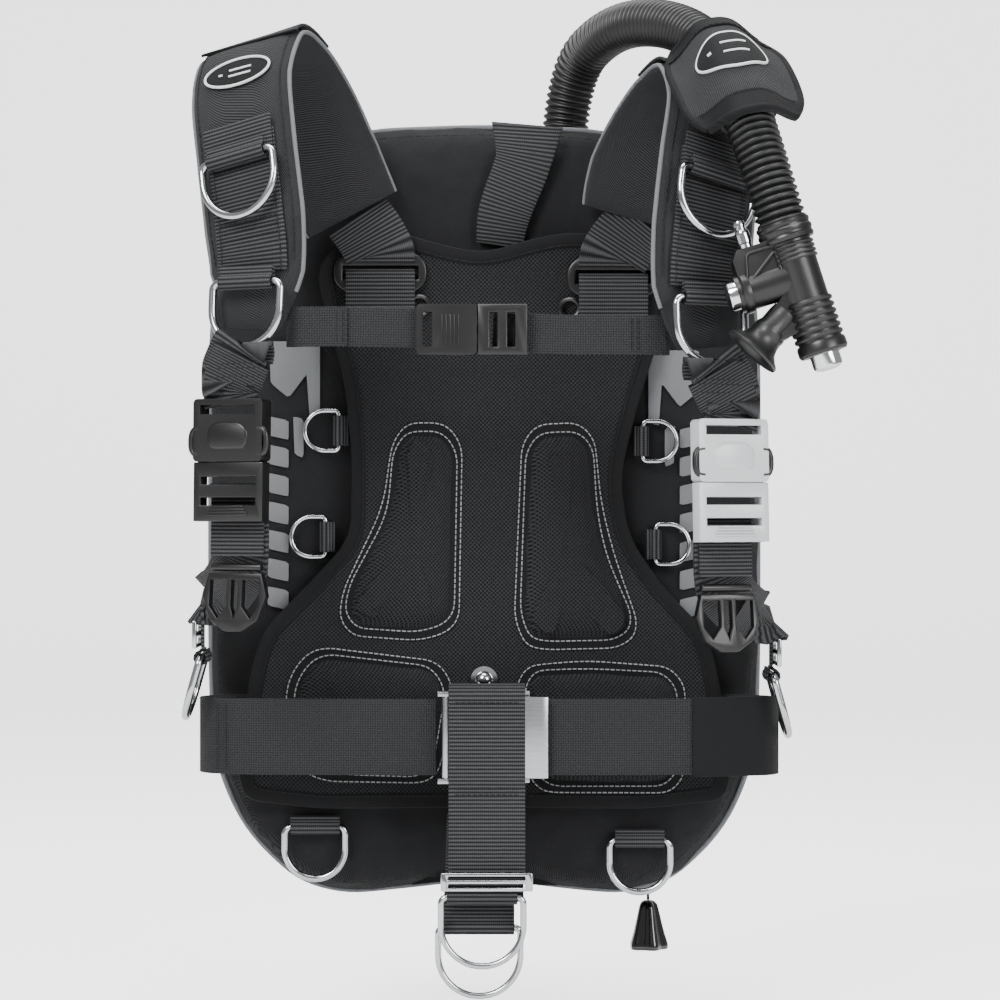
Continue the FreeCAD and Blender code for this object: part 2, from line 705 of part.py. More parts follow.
SIDES = {
    "left": {"sign": -1, "buckle": Vector(-160, -216, 116), "across": Vector(0.9, -0.42, 0),
             "up": Vector(0.16, -0.05, 1), "ring": Vector(-186, -128, -12)},
    "right": {"sign": 1, "buckle": Vector(157, -216, 103), "across": Vector(0.9, 0.42, 0),
              "up": Vector(-0.2, -0.05, 1), "ring": Vector(190, -128, -24)},
}
SIDE_SOCKET_DEPTH, SIDE_CLIP_TAIL = 28, 38
side_width = mm("side_webbing_width")
side_pieces = []
sliders = []
for side, spec in SIDES.items():
    sign = spec["sign"]
    place = axes_placement(spec["buckle"], spec["across"], spec["up"])

    def at(x, y, z):
        """A point given in the buckle's own axes."""
        return place.multVec(Vector(x, y, z))

    socket = buckle_socket(f"{side}_buckle_socket", size("side_buckle_width"), size("side_buckle_thickness"),
                           SIDE_SOCKET_DEPTH)
    socket.Placement = place
    keep(f"{side}_buckle_socket", socket)
    clip = buckle_clip(f"{side}_buckle_clip", size("side_buckle_width"), size("side_buckle_thickness"),
                       SIDE_SOCKET_DEPTH, SIDE_CLIP_TAIL)
    clip.Placement = place
    keep(f"{side}_buckle_clip", clip)
    across = place.Rotation.multVec(Vector(1, 0, 0))
    ring_bottom = on_strap(side, LAST_WEBBING, ring_loop_lift, 8 + mm("junction_ring_depth") + 3)
    top_across = ring_bottom.Rotation.multVec(Vector(1, 0, 0))
    upper = [
        Station(ring_bottom.Base, top_across),
        Station(at(0, 0, SIDE_SOCKET_DEPTH + 22), across),
        Station(at(0, 0, SIDE_SOCKET_DEPTH + 12.4), across),
    ]
    side_pieces.append(lofted_strap(f"{side}_upper_webbing", upper, side_width, webbing.number))
    tail_y = 8.5
    tail = [Station(at(0, tail_y, -22), across), Station(at(0, tail_y, -60), across)]
    side_pieces.append(lofted_strap(f"{side}_tail_webbing", tail, side_width, webbing.number))
    ring_place = spec["ring"]
    ring_across = Vector(0.1, sign, 0)
    anchored = [
        Station(at(0, tail_y + 4, -22), across),
        Station(at(0, tail_y + 5, -62), across),
        Station((at(0, tail_y + 9, -85) + ring_place + Vector(0, 0, 44)) / 2, across + ring_across * 0.8),
        Station(ring_place + Vector(0, 0, 36), ring_across),
        Station(ring_place + Vector(0, 0, 22), ring_across),
        Station(ring_place + Vector(0, 0, 7), ring_across),
    ]
    side_pieces.append(lofted_strap(f"{side}_anchored_webbing", anchored, side_width, webbing.number))
    ring_axes = axes_placement(ring_place, Vector(0, 1, 0), Vector(-sign * 0.28, 0, 1))
    loop = webbing_loop(f"{side}_waist_loop", size("waist_ring_width") - 16, size("chest_ring_wire"), 1.5)
    loop.Placement = ring_axes
    side_pieces.append(loop)
    ring = d_ring(f"{side}_waist_ring", size("waist_ring_width"), size("waist_ring_depth"), strap_wire)
    ring.Placement = ring_axes
    keep(f"{side}_waist_ring", ring)
    # The slider that sets the strap's length stands against the outside of its lower end.
    slider = new_body(f"{side}_waist_slider")
    half = size("side_webbing_width") / 2
    add_slab(slider, "XZ_Plane", rectangle(-half - 5, half + 5, -9, 9), 0, 3)
    for low in (-6.5, 1.5):
        add_slab(slider, "XZ_Plane", rectangle(-half - 1, half + 1, low, low + 5), 0, 9, "Pocket")
    slider_place = ring_place + Vector(sign * 3.6, 0, 15.5)
    slider.Placement = axes_placement(slider_place, Vector(0, -sign, 0), Vector(0, 0, 1))
    sliders.append(slider)
    # A ring puller hangs from the end of the strap's tail.
    puller = new_body(f"{side}_ring_puller")
    add_disc(puller, "YZ_Plane", 0, 0, 5, 0, size("side_webbing_width") - 2)
    add_slab(puller, "XZ_Plane", [(-19, -4), (19, -4), (23, -18), (17, -34), (6, -41), (-6, -41), (-17, -34),
                                  (-23, -18)], 0, 5)
    for low, high in ((-18, -5.5), (-2.5, 2.5), (5.5, 18)):
        hole = [(low, -8), (high, -8), (high, -25), ((low + high) / 2, -33), (low, -25)]
        add_slab(puller, "XZ_Plane", hole, 0, 12, "Pocket")
    puller.Placement = axes_placement(at(0, tail_y, -67), across, Vector(0, 0.1, 1))
    keep(f"{side}_ring_puller", puller)
group("side_webbings", side_pieces)
group("waist_sliders", sliders)

# ---------------------------------------------------------------- waist belt and its buckle

belt_z = size("belt_height")
belt_back = -strap_middle.number
front_y = -mm("belt_front")
belt_paths = {
    "left": [(-16, belt_back), (-168, belt_back), (-183, -108), (-189, -121), (-181, -136), (-152, -146),
             (-90, -150), (-31, front_y)],
    "right": [(16, belt_back), (168, belt_back), (186, -108), (193, -121), (186, -137), (152, -147),
              (90, -150.5), (36, front_y)],
}
for side, path in belt_paths.items():
    keep(f"{side}_waist_belt", ribbon(f"{side}_waist_belt", "XY_Plane", path, belt_z, size("webbing_width")))

# Quick release buckle: a hinge bar between two ears, a base plate behind and a flap in front.
hinge_x, hinge_y = -24.0, front_y - 4.0
belt_half = size("webbing_width") / 2
buckle = new_body("waist_buckle_frame")
wire = size("buckle_wire")
base_end = hinge_x + size("buckle_length")
add_slab(buckle, "XZ_Plane", rectangle(hinge_x + 9, base_end - 12, belt_z - belt_half - 2, belt_z + belt_half + 2),
         front_y + 3.2, 2)
for end in (1, -1):
    ear_z = belt_z + (belt_half + 3.5) * end
    add_slab(buckle, "XY_Plane", [(hinge_x - 6, front_y - 8), (hinge_x + 5, front_y - 8), (hinge_x + 12, front_y),
                                  (base_end - 12, front_y + 2.2), (base_end - 12, front_y + 4.2),
                                  (hinge_x - 6, front_y + 4.2)], ear_z, 3)
add_disc(buckle, "XY_Plane", hinge_x, hinge_y, wire - 3, belt_z, size("webbing_width") + 6)
keep("waist_buckle_frame", buckle)
flap = new_body("waist_buckle_flap")
barrel_length = size("webbing_width") + 3
add_disc(flap, "XY_Plane", hinge_x, hinge_y, wire, belt_z, barrel_length)
flap_y = hinge_y - 1.6
add_slab(flap, "XY_Plane", [(hinge_x, flap_y - 1.4), (base_end - 4, flap_y - 1.4), (base_end, flap_y - 0.6),
                            (base_end, flap_y + 1), (hinge_x, flap_y + 1)], belt_z, barrel_length)
add_disc(flap, "XY_Plane", hinge_x, hinge_y, wire - 2.8, belt_z, barrel_length * 2, "Pocket")
keep("waist_buckle_flap", flap)

# ---------------------------------------------------------------- crotch strap

loop_front, loop_back = -165.8, -143.0
crotch_x = 2.0
crotch_end = -156
loop_top = belt_z.number + belt_half.number + 9
loop_path = [(loop_front, crotch_end), (loop_front, loop_top - 5), (loop_front + 5, loop_top),
             (loop_back - 4, loop_top), (loop_back, loop_top - 5), (loop_back, -112),
             (loop_front + 6, -143), (loop_front + 3.2, crotch_end)]
front_loop = ribbon("crotch_front_loop", "YZ_Plane", loop_path, crotch_x, size("webbing_width"))
rear_path = [(-107.5, -118), (-117, -130), (-148, -142), (loop_front + 6.6, crotch_end)]
rear_strap = ribbon("crotch_rear_strap", "YZ_Plane", rear_path, crotch_x - 2, size("webbing_width"))
CROTCH_RINGS = {
    "crotch_front_ring": (Vector(crotch_x - 3, loop_front + 1.5, -167), 5),
    "crotch_rear_ring": (Vector(crotch_x - 5, loop_front + 13, -188), 20),
}
crotch_pieces = [front_loop, rear_strap]
for label, (place, tail) in CROTCH_RINGS.items():
    ring = d_ring(label, size("crotch_ring_width"), size("crotch_ring_depth"), size("crotch_ring_wire"))
    ring.Placement = axes_placement(place, Vector(1, 0, 0), Vector(0, 0, 1))
    keep(label, ring)
    loop = webbing_loop(label + "_loop", size("crotch_ring_width") - 14, size("crotch_ring_wire"), tail)
    loop.Placement = ring.Placement
    crotch_pieces.append(loop)
group("crotch_strap", crotch_pieces)

# The slider stands on the front of the strap's lower end.
slider = new_body("crotch_slider")
slider_half = size("webbing_width") / 2
slider_y = loop_front - webbing.number / 2 - 0.4 - 1.5
slider_low = crotch_end - 6.5
add_slab(slider, "XZ_Plane", rectangle(crotch_x - slider_half - 5, crotch_x + slider_half + 5, slider_low,
                                       slider_low + 12), slider_y, 3)
for low in (2.2, 7.2):
    add_slab(slider, "XZ_Plane", rectangle(crotch_x - slider_half, crotch_x + slider_half, slider_low + low,
                                           slider_low + low + 2.6), slider_y, 9, "Pocket")
keep("crotch_slider", slider)

# ---------------------------------------------------------------- rings on the wing and along the pad

lower_y = -(wing_front + 5.2).number
lower_rings = {
    "left_lower_ring": (-113, -127),
    "right_lower_ring": (104, -136),
    "centre_lower_ring": (-2, -126),
}
loops = []
for label, (x, z) in lower_rings.items():
    place = axes_placement(Vector(x, lower_y, z), Vector(1, 0, 0), Vector(0, 0, 1))
    ring = d_ring(label, size("lower_ring_width"), size("lower_ring_depth"), size("lower_ring_wire"))
    ring.Placement = place
    keep(label, ring)
    loop = webbing_loop(label + "_loop", size("lower_ring_width") - 14, size("lower_ring_wire"), 3)
    loop.Placement = place
    loops.append(loop)
group("lower_ring_loops", loops)

side_rings = {
    "left_upper_side_ring": (-97, 138, -1), "left_lower_side_ring": (-106, 67, -1),
    "right_upper_side_ring": (106, 131, 1), "right_lower_side_ring": (114.5, 62, 1),
}
side_y = -(wing_front + 5.0).number
loops = []
for label, (x, z, sign) in side_rings.items():
    place = axes_placement(Vector(x, side_y, z), Vector(0, 0, 1), Vector(-sign, 0, 0))
    ring = d_ring(label, size("side_ring_width"), size("side_ring_depth"), size("side_ring_wire"))
    ring.Placement = place
    keep(label, ring)
    loop = webbing_loop(label + "_loop", size("side_ring_width") - 11, size("side_ring_wire"), 2)
    loop.Placement = place
    loops.append(loop)
group("side_ring_loops", loops)

# ---------------------------------------------------------------- hose, sleeve and inflator

HOSE_ROUTE = [(54, -38, 322), (56, -40, 384), (86, -78, 413), (124, -132, 408), (152, -188, 380),
              (162, -230, 350), (176, -250, 301), (187, -252, 264)]
PIVOT_RUN, PIVOT_SHARE = 5, 0.45
hose_points = [Vector(*point) for point in HOSE_ROUTE]
hose_pivot = hose_points[PIVOT_RUN] + (hose_points[PIVOT_RUN + 1] - hose_points[PIVOT_RUN]) * PIVOT_SHARE


def route_wire(points):
    """Straight runs joined by tangent arcs; prints each arc's radius."""
    edges, radii, start = [], [], points[0]
    for before, corner, after in zip(points, points[1:], points[2:]):
        into, out = (corner - before), (after - corner)
        turn = into.getAngle(out)
        setback = 0.45 * min(into.Length, out.Length)
        into.normalize()
        out.normalize()
        radii.append(setback / math.tan(turn / 2))
        first, last = corner - into * setback, corner + out * setback
        towards = (out - into).normalize()
        bulge = radii[-1] * (1 / math.cos(turn / 2) - 1)
        edges.append(Part.LineSegment(start, first).toShape())
        edges.append(Part.Arc(first, corner + towards * bulge, last).toShape())
        start = last
    edges.append(Part.LineSegment(start, points[-1]).toShape())
    print("arc radii", [round(radius, 1) for radius in radii])
    return Part.Wire(edges)


def route_rod(points, rod_radius):
    """A solid rod along a route, checked against its section times its length."""
    wire = route_wire(points)
    ring = Part.Wire([Part.Circle(points[0], points[1] - points[0], rod_radius).toShape()])
    rod = wire.makePipeShell([ring], True, False)
    print("rod volume over section x length", round(rod.Volume / (math.pi * rod_radius ** 2 * wire.Length), 4))
    return rod


def solid_part(label, shape, base=None):
    """A node whose shape comes from Part functions."""
    item = doc.addObject("Part::Feature", label)
    item.Shape = shape
    if base is not None:
        item.Placement = base
    return keep(label, item)


hose_radius = mm("hose_diameter") / 2
bore_radius = hose_radius - mm("hose_wall")
upper_route = hose_points[:PIVOT_RUN + 1] + [hose_pivot]
lower_route = [hose_pivot] + hose_points[PIVOT_RUN + 1:]
ball = Part.makeSphere(hose_radius, hose_pivot)
socket_ball = Part.makeSphere(hose_radius + 0.4, hose_pivot)
upper_tube = route_rod(upper_route, hose_radius).cut(route_rod(upper_route, bore_radius)).cut(socket_ball)
upper_tube = max(upper_tube.Solids, key=lambda solid: solid.Volume)
lower_tube = route_rod(lower_route, hose_radius).fuse(ball).cut(route_rod(lower_route, bore_radius))
solid_part("upper_hose", upper_tube)
solid_part("lower_hose", lower_tube)

# The elbow stands on the back of the wing and turns the hose up.
elbow = new_body("hose_elbow")
hose_start = hose_points[0]
wing_back = -(wing_front - size("wing_thickness")).number
nozzle_top = hose_start.z - 1.2
nozzle_foot = 288
add_disc(elbow, "XY_Plane", hose_start.x, hose_start.y, size("hose_diameter"), (nozzle_foot + nozzle_top) / 2,
         nozzle_top - nozzle_foot)
base_y = wing_back + 0.4 + 2.5
add_disc(elbow, "XZ_Plane", hose_start.x, nozzle_foot + 2, 56, base_y, 5)
keep("hose_elbow", elbow)

# The sleeve wraps the hose and carries a flap over the front of the shoulder strap.
sleeve_in = hose_radius + 0.6
sleeve_out = sleeve_in + mm("sleeve_wall")
sleeve_foot = hose_points[4] * 0.08 + hose_points[5] * 0.92
sleeve_head = hose_points[4] * 0.75 + hose_points[5] * 0.25
sleeve_axis = sleeve_head - sleeve_foot
sleeve = Part.makeCylinder(sleeve_out, sleeve_axis.Length, sleeve_foot, sleeve_axis)
flap_place = on_strap("right", SLEEVE_SLOT, webbing_face + 4.5)
flap_box = Part.makeBox(74, 4, 50, Vector(-38, -2, -30))
flap_box.Placement = flap_place
sleeve = sleeve.fuse(flap_box)
sleeve = sleeve.cut(route_rod(upper_route, sleeve_in))
sleeve = max(sleeve.Solids, key=lambda solid: solid.Volume)
solid_part("hose_sleeve", sleeve)

# The inflator in its own axes: the hose comes in from +Z at the origin and the side branch points to -X.
inflator_place = axes_placement(hose_points[-1], Vector(0.95, 0.05, 0.3), Vector(-0.3, 0.05, 0.95))
inflator = new_body("inflator_body")
barrel = size("barrel_radius")
button = size("button_radius")
play = size("button_play")
branch_z, branch_end, barrel_end = -34, -41, -84
add_disc(inflator, "XY_Plane", 0, 0, barrel * 2 + 3, -6, 11.4)
add_disc(inflator, "XY_Plane", 0, 0, barrel * 2, (barrel_end - 2) / 2, -barrel_end - 2)
add_disc(inflator, "YZ_Plane", 0, branch_z, (button + 2.5) * 2, branch_end / 2, -branch_end)
add_slab(inflator, "XZ_Plane", [(-38, -14), (-34, -8), (0, -8), (0, -34), (-38, -34)], 0, 18)
mouth_start, mouth_end = Vector(-8, 0, -50), Vector(-42, 0, -70)
web_points = [(-10, -40), (-30, -55), (-24, -66), (-10, -70)]
add_slab(inflator, "XZ_Plane", web_points, 0, 15)
add_disc(inflator, "XY_Plane", 0, 0, (button + play) * 2, barrel_end + 8, 18, "Pocket")
add_disc(inflator, "YZ_Plane", 0, branch_z, (button + play) * 2, branch_end + 6, 14, "Pocket")
add_disc(inflator, "XY_Plane", -26, 0, size("nipple_radius") * 2 - 1.5, -9, 6, "Pocket")
keep("inflator_body", inflator)
inflate = new_body("inflate_button")
add_disc(inflate, "YZ_Plane", 0, branch_z, button * 2, branch_end + 1, 14)
keep("inflate_button", inflate)
vent = new_body("vent_button")
add_disc(vent, "XY_Plane", 0, 0, button * 2, barrel_end - 2, 20)
keep("vent_button", vent)
nipple = new_body("inlet_nipple")
nipple_diameter = size("nipple_radius") * 2
add_disc(nipple, "XY_Plane", -26, 0, nipple_diameter, 1.2, 18)
add_disc(nipple, "XY_Plane", -26, 0, nipple_diameter - 2, -9.5, 4)
keep("inlet_nipple", nipple)
mouth_axis = (mouth_end - mouth_start).normalize()
flare = Part.makeCone(9.5, 11, 9, mouth_start + mouth_axis * 23.5, mouth_axis)
flange = Part.makeCone(11, 19, 8, mouth_start + mouth_axis * 32.5, mouth_axis)
mouth = flare.fuse(flange).cut(Part.makeCone(6.5, 14, 24, mouth_start + mouth_axis * 22, mouth_axis))
mouthpiece = solid_part("mouthpiece", mouth, inflator_place)
for item in (inflator, inflate, vent, nipple):
    item.Placement = inflator_place

# ---------------------------------------------------------------- dump valve and its pull

dump_x, dump_y, dump_z = 112, wing_back + 8, -138
valve = new_body("dump_valve")
cord_diameter = size("dump_cord_diameter")
add_disc(valve, "XZ_Plane", dump_x, dump_z, 52, wing_back + 0.4 + 6, 12)
cord_hole_top = dump_z - 10
add_disc(valve, "XY_Plane", dump_x, dump_y, cord_diameter + 1, cord_hole_top - 15, 30, "Pocket")
keep("dump_valve", valve)
knob_top = -182
cord_top = cord_hole_top - 4
cord = new_body("dump_cord")
add_disc(cord, "XY_Plane", dump_x, dump_y, cord_diameter, (cord_top + knob_top) / 2, cord_top - knob_top)
keep("dump_cord", cord)
knob = doc.addObject("Part::Cone", "dump_knob")
bind(knob, "Radius1", size("knob_radius"))
bind(knob, "Radius2", size("knob_radius") * 0.4)
bind(knob, "Height", size("knob_height"))
bind(knob, "Placement.Base.z", length(knob_top) - size("knob_height"))
knob.Placement = Placement(Vector(dump_x, dump_y, knob_top - mm("knob_height")), FreeCAD.Rotation())
keep("dump_knob", knob)

# ---------------------------------------------------------------- cam buckles on the cylinder bands

cam_frames, cam_pins = [], []
band_outside = radius + webbing
frame_foot = band_outside + 0.6
pin_x, pin_y, pin_diameter = -12, frame_foot.number + 10, 5
for name, height in band_heights.items():
    frame = new_body(f"{name}_cam_frame")
    ear_middle = size("webbing_width") / 2 + 3
    add_slab(frame, "XZ_Plane", rectangle(-20, 20, height - ear_middle - 1.5, height + ear_middle + 1.5),
             frame_foot + 1.25, 2.5)
    for end in (1, -1):
        ear = [(-20, frame_foot), (14, frame_foot), (-4, frame_foot + 16), (-20, frame_foot + 16)]
        add_slab(frame, "XY_Plane", ear, height + ear_middle * end, 3)
        add_disc(frame, "XY_Plane", pin_x, pin_y, pin_diameter + 0.1, height + ear_middle * end, 9, "Pocket")
    cam_frames.append(frame)
    pin = new_body(f"{name}_cam_pin")
    add_disc(pin, "XY_Plane", pin_x, pin_y, pin_diameter, height, ear_middle * 2 + 5)
    cam_pins.append(pin)
    lever = new_body(f"{name}_cam_lever")
    lever_length = size("webbing_width")
    add_disc(lever, "XY_Plane", pin_x, pin_y, 12, height, lever_length)
    arm = [
        (pin_x, pin_y + 1), (pin_x, pin_y + 6), (36, pin_y + 7),
        (44, pin_y + 9), (44, pin_y + 5), (36, pin_y + 3),
    ]
    add_slab(lever, "XY_Plane", arm, height, lever_length)
    add_disc(lever, "XY_Plane", pin_x, pin_y, pin_diameter + 0.2, height, lever_length * 2, "Pocket")
    keep(f"{name}_cam_lever", lever)
group("cam_frames", cam_frames)
group("cam_pins", cam_pins)

# ---------------------------------------------------------------- check and write

doc.recompute()
os.makedirs("parts", exist_ok=True)
faults = [item.Label for item in doc.Objects if "Invalid" in item.State or "Error" in item.State]
for label, item in PARTS.items():
    if item.Shape.isNull() or not item.Shape.isValid() or not item.Shape.Solids:
        faults.append(label)
if faults:
    raise RuntimeError("failed: " + ", ".join(faults))
for label, item in PARTS.items():
    item.Shape.exportStep(os.path.join("parts", label + ".step"))
print(len(PARTS), "nodes written")
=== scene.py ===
"""Looks of a harness style buoyancy compensator vest: soft goods, webbing, hardware, hose and inflator."""

import logging
import math
from collections.abc import Callable, Iterator, Sequence
from contextlib import contextmanager
from dataclasses import dataclass
from enum import Enum

import bpy
from mathutils import Matrix, Vector


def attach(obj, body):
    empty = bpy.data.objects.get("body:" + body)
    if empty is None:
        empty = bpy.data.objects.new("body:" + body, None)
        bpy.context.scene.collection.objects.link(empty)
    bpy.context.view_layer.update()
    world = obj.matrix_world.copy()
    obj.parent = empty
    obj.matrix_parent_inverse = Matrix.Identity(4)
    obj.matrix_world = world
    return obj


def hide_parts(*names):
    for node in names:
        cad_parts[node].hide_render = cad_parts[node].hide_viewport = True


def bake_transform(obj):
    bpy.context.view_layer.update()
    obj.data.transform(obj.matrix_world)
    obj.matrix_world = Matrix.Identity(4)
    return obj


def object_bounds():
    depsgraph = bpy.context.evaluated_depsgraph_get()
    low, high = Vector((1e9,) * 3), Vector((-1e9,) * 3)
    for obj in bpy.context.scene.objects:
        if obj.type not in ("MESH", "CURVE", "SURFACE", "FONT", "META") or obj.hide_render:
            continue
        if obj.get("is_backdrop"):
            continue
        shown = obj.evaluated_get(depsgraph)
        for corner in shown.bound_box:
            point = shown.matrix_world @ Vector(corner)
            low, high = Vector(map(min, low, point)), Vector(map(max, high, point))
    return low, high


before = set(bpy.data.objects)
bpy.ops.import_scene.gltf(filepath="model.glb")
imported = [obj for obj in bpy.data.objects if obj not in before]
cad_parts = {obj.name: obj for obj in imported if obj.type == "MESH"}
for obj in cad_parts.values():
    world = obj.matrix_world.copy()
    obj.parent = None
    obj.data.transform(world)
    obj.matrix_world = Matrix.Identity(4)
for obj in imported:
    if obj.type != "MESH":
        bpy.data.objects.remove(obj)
cad_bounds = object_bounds()

log = logging.getLogger("vest")
HARNESS = "harness"
FRONT, BACK = Vector((0, -1, 0)), Vector((0, 1, 0))
LEFT, RIGHT, UP = Vector((-1, 0, 0)), Vector((1, 0, 0)), Vector((0, 0, 1))


# ---------------------------------------------------------------- places and paths


def mm(x: float, y: float, z: float) -> Vector:
    """A point or direction given in millimetres, in metres."""
    return Vector((x, y, z)) * 0.001


def axes(place: Vector, across: Vector, up: Vector) -> Matrix:
    """A frame with local X along across and local Z as near to up as a square corner allows.

    Args:
        place: The frame's origin.
        across: The direction of local X.
        up: The direction that local Z comes as near to as it can.

    Returns:
        The frame, with its third axis completing a right-handed set.
    """
    x_axis = across.normalized()
    z_axis = (up - x_axis * up.dot(x_axis)).normalized()
    turned = Matrix((x_axis, z_axis.cross(x_axis), z_axis)).transposed().to_4x4()
    turned.translation = place
    return turned


def rounded(points: Sequence[Vector], radius: float, steps: int = 5, closed: bool = False) -> list[Vector]:
    """A path of straight runs with each corner rounded.

    Args:
        points: The corners.
        radius: How far before each corner the bend starts.
        steps: Points on each bend.
        closed: Whether the last corner joins the first.

    Returns:
        The points of the rounded path.
    """
    count = len(points)
    path: list[Vector] = [] if closed else [points[0].copy()]
    for i in range(count) if closed else range(1, count - 1):
        before, corner, after = points[i - 1], points[i], points[(i + 1) % count]
        setback = min(radius, (corner - before).length * 0.49, (after - corner).length * 0.49)
        first = corner + (before - corner).normalized() * setback
        last = corner + (after - corner).normalized() * setback
        for step in range(steps + 1):
            t = step / steps
            path.append(first * (1 - t) ** 2 + corner * 2 * t * (1 - t) + last * t ** 2)
    if not closed:
        path.append(points[-1].copy())
    return path


def spaced(points: Sequence[Vector], pitch: float, closed: bool = False) -> list[Vector]:
    """Points at an even pitch along a path.

    Args:
        points: The path.
        pitch: The distance wanted between points.
        closed: Whether the path returns to its start.

    Returns:
        The evenly spaced points, without a doubled end on a closed path.
    """
    line = list(points) + ([points[0]] if closed else [])
    lengths = [0.0]
    for a, b in zip(line, line[1:]):
        lengths.append(lengths[-1] + (b - a).length)
    count = max(2, round(lengths[-1] / pitch))
    result, run = [], 0
    for i in range(count if closed else count + 1):
        wanted = lengths[-1] * i / count
        while run < len(line) - 2 and lengths[run + 1] < wanted:
            run += 1
        share = (wanted - lengths[run]) / max(lengths[run + 1] - lengths[run], 1e-9)
        result.append(line[run].lerp(line[run + 1], min(max(share, 0), 1)))
    return result


def outline_xz(pairs: Sequence[tuple[float, float]], y: float, radius: float,
               pitch: float = 8) -> list[Vector]:
    """A closed outline in a plane that faces the wearer.

    Args:
        pairs: The corners' x and z in millimetres, counter-clockwise from the wearer's side.
        y: The plane's place in millimetres.
        radius: The corners' rounding in millimetres.
        pitch: The distance between points in millimetres.

    Returns:
        Evenly spaced points in metres.
    """
    corners = [mm(x, y, z) for x, z in pairs]
    return spaced(rounded(corners, radius * 0.001, 6, True), pitch * 0.001, True)


def mirrored(half: Sequence[tuple[float, float]]) -> list[tuple[float, float]]:
    """A counter-clockwise outline from its right half, which starts at the bottom and ends at the top."""
    return list(half) + [(-x, z) for x, z in reversed(half) if x > 0]


@dataclass(frozen=True)
class Station:
    """One section of a strap, with its place and the direction across it, and its share of the full width."""

    place: Vector
    across: Vector
    share: float = 1.0


def flowing(stations: Sequence[Station], steps: int = 8) -> list[Station]:
    """Stations on a smooth curve through the given ones.

    Args:
        stations: The sections that the strap passes.
        steps: How many parts each run is divided into.

    Returns:
        The closer stations, with the given ones among them.
    """
    result = []
    last = len(stations) - 1
    for i in range(last):
        a, b = stations[i], stations[i + 1]
        before, after = stations[max(i - 1, 0)], stations[min(i + 2, last)]
        for step in range(steps):
            t = step / steps
            lead = (b.place - before.place) * 0.5
            trail = (after.place - a.place) * 0.5
            place = (a.place * (2 * t ** 3 - 3 * t ** 2 + 1) + lead * (t ** 3 - 2 * t ** 2 + t)
                     + b.place * (3 * t ** 2 - 2 * t ** 3) + trail * (t ** 3 - t ** 2))
            result.append(Station(place, a.across.lerp(b.across, t), a.share + (b.share - a.share) * t))
    return result + [stations[-1]]


def station_frames(stations: Sequence[Station], lift: float = 0.0) -> list[Matrix]:
    """A frame for each station.

    Args:
        stations: The sections in order.
        lift: How far the frames are moved out from the stations along local Y.

    Returns:
        Frames with local X across, local Z along the strap and local Y outwards.
    """
    frames = []
    for i, station in enumerate(stations):
        along = stations[min(i + 1, len(stations) - 1)].place - stations[max(i - 1, 0)].place
        ahead = along.normalized()
        turned = axes(station.place, station.across - ahead * station.across.dot(ahead), along)
        turned.translation = station.place + turned.to_3x3() @ Vector((0, lift, 0))
        frames.append(turned)
    return frames


# ---------------------------------------------------------------- shaping pieces


def deselect() -> None:
    """Clears the selection in object mode."""
    for item in bpy.context.selected_objects:
        item.select_set(False)


def pick(piece: bpy.types.Object) -> None:
    """Makes one piece the active object and the only selected one."""
    deselect()
    piece.select_set(True)
    bpy.context.view_layer.objects.active = piece


def linked(name: str, data: bpy.types.ID) -> bpy.types.Object:
    """A new object in the scene with the given data."""
    item = bpy.data.objects.new(name, data)
    bpy.context.scene.collection.objects.link(item)
    return item


@contextmanager
def editing(piece: bpy.types.Object, mode: str = "FACE") -> Iterator[None]:
    """Edit mode on one piece, with all of it selected.

    Args:
        piece: The object to edit.
        mode: Which elements are selected, VERT, EDGE or FACE.

    Yields:
        Nothing.
    """
    pick(piece)
    bpy.ops.object.mode_set(mode="EDIT")
    bpy.ops.mesh.select_mode(type=mode)
    bpy.ops.mesh.select_all(action="SELECT")
    yield
    bpy.ops.object.mode_set(mode="OBJECT")


def apply_modifiers(piece: bpy.types.Object) -> bpy.types.Object:
    """Applies every modifier in order and returns the piece."""
    pick(piece)
    for modifier in list(piece.modifiers):
        bpy.ops.object.modifier_apply(modifier=modifier.name)
    return piece


def modified(piece: bpy.types.Object, kind: str, **values: object) -> bpy.types.Object:
    """Adds one modifier and applies it.

    Args:
        piece: The object to change.
        kind: The modifier's type.
        values: The modifier's properties.

    Returns:
        The same piece.
    """
    modifier = piece.modifiers.new(kind.title(), kind)
    for key, value in values.items():
        setattr(modifier, key, value)
    return apply_modifiers(piece)


def beveled(piece: bpy.types.Object, width: float, segments: int = 2, angle: float = 35) -> bpy.types.Object:
    """Rounds the edges that turn by more than angle degrees, and returns the piece."""
    return modified(piece, "BEVEL", width=width, segments=segments, limit_method="ANGLE",
                    angle_limit=math.radians(angle), harden_normals=False)


def merged(piece: bpy.types.Object, outward: bool = True) -> bpy.types.Object:
    """Merges doubled points and turns the faces outwards, and returns the piece."""
    with editing(piece):
        bpy.ops.mesh.remove_doubles(threshold=1e-5)
        if outward:
            bpy.ops.mesh.normals_make_consistent(inside=False)
    return piece


def smooth(piece: bpy.types.Object, angle: float = 40) -> bpy.types.Object:
    """Shades the piece smooth, with edges sharper than angle degrees kept, and returns it."""
    pick(piece)
    bpy.ops.object.shade_smooth_by_angle(angle=math.radians(angle))
    return piece


def thickened(piece: bpy.types.Object, thickness: float, offset: float = 0) -> bpy.types.Object:
    """Gives a surface a thickness, on both sides at an offset of 0 or behind it at -1, and returns it."""
    return modified(piece, "SOLIDIFY", thickness=thickness, offset=offset, use_even_offset=False)


def subdivided(piece: bpy.types.Object, levels: int = 1) -> bpy.types.Object:
    """Divides every face and rounds the result, and returns the piece."""
    return modified(piece, "SUBSURF", levels=levels, render_levels=levels, use_limit_surface=False)


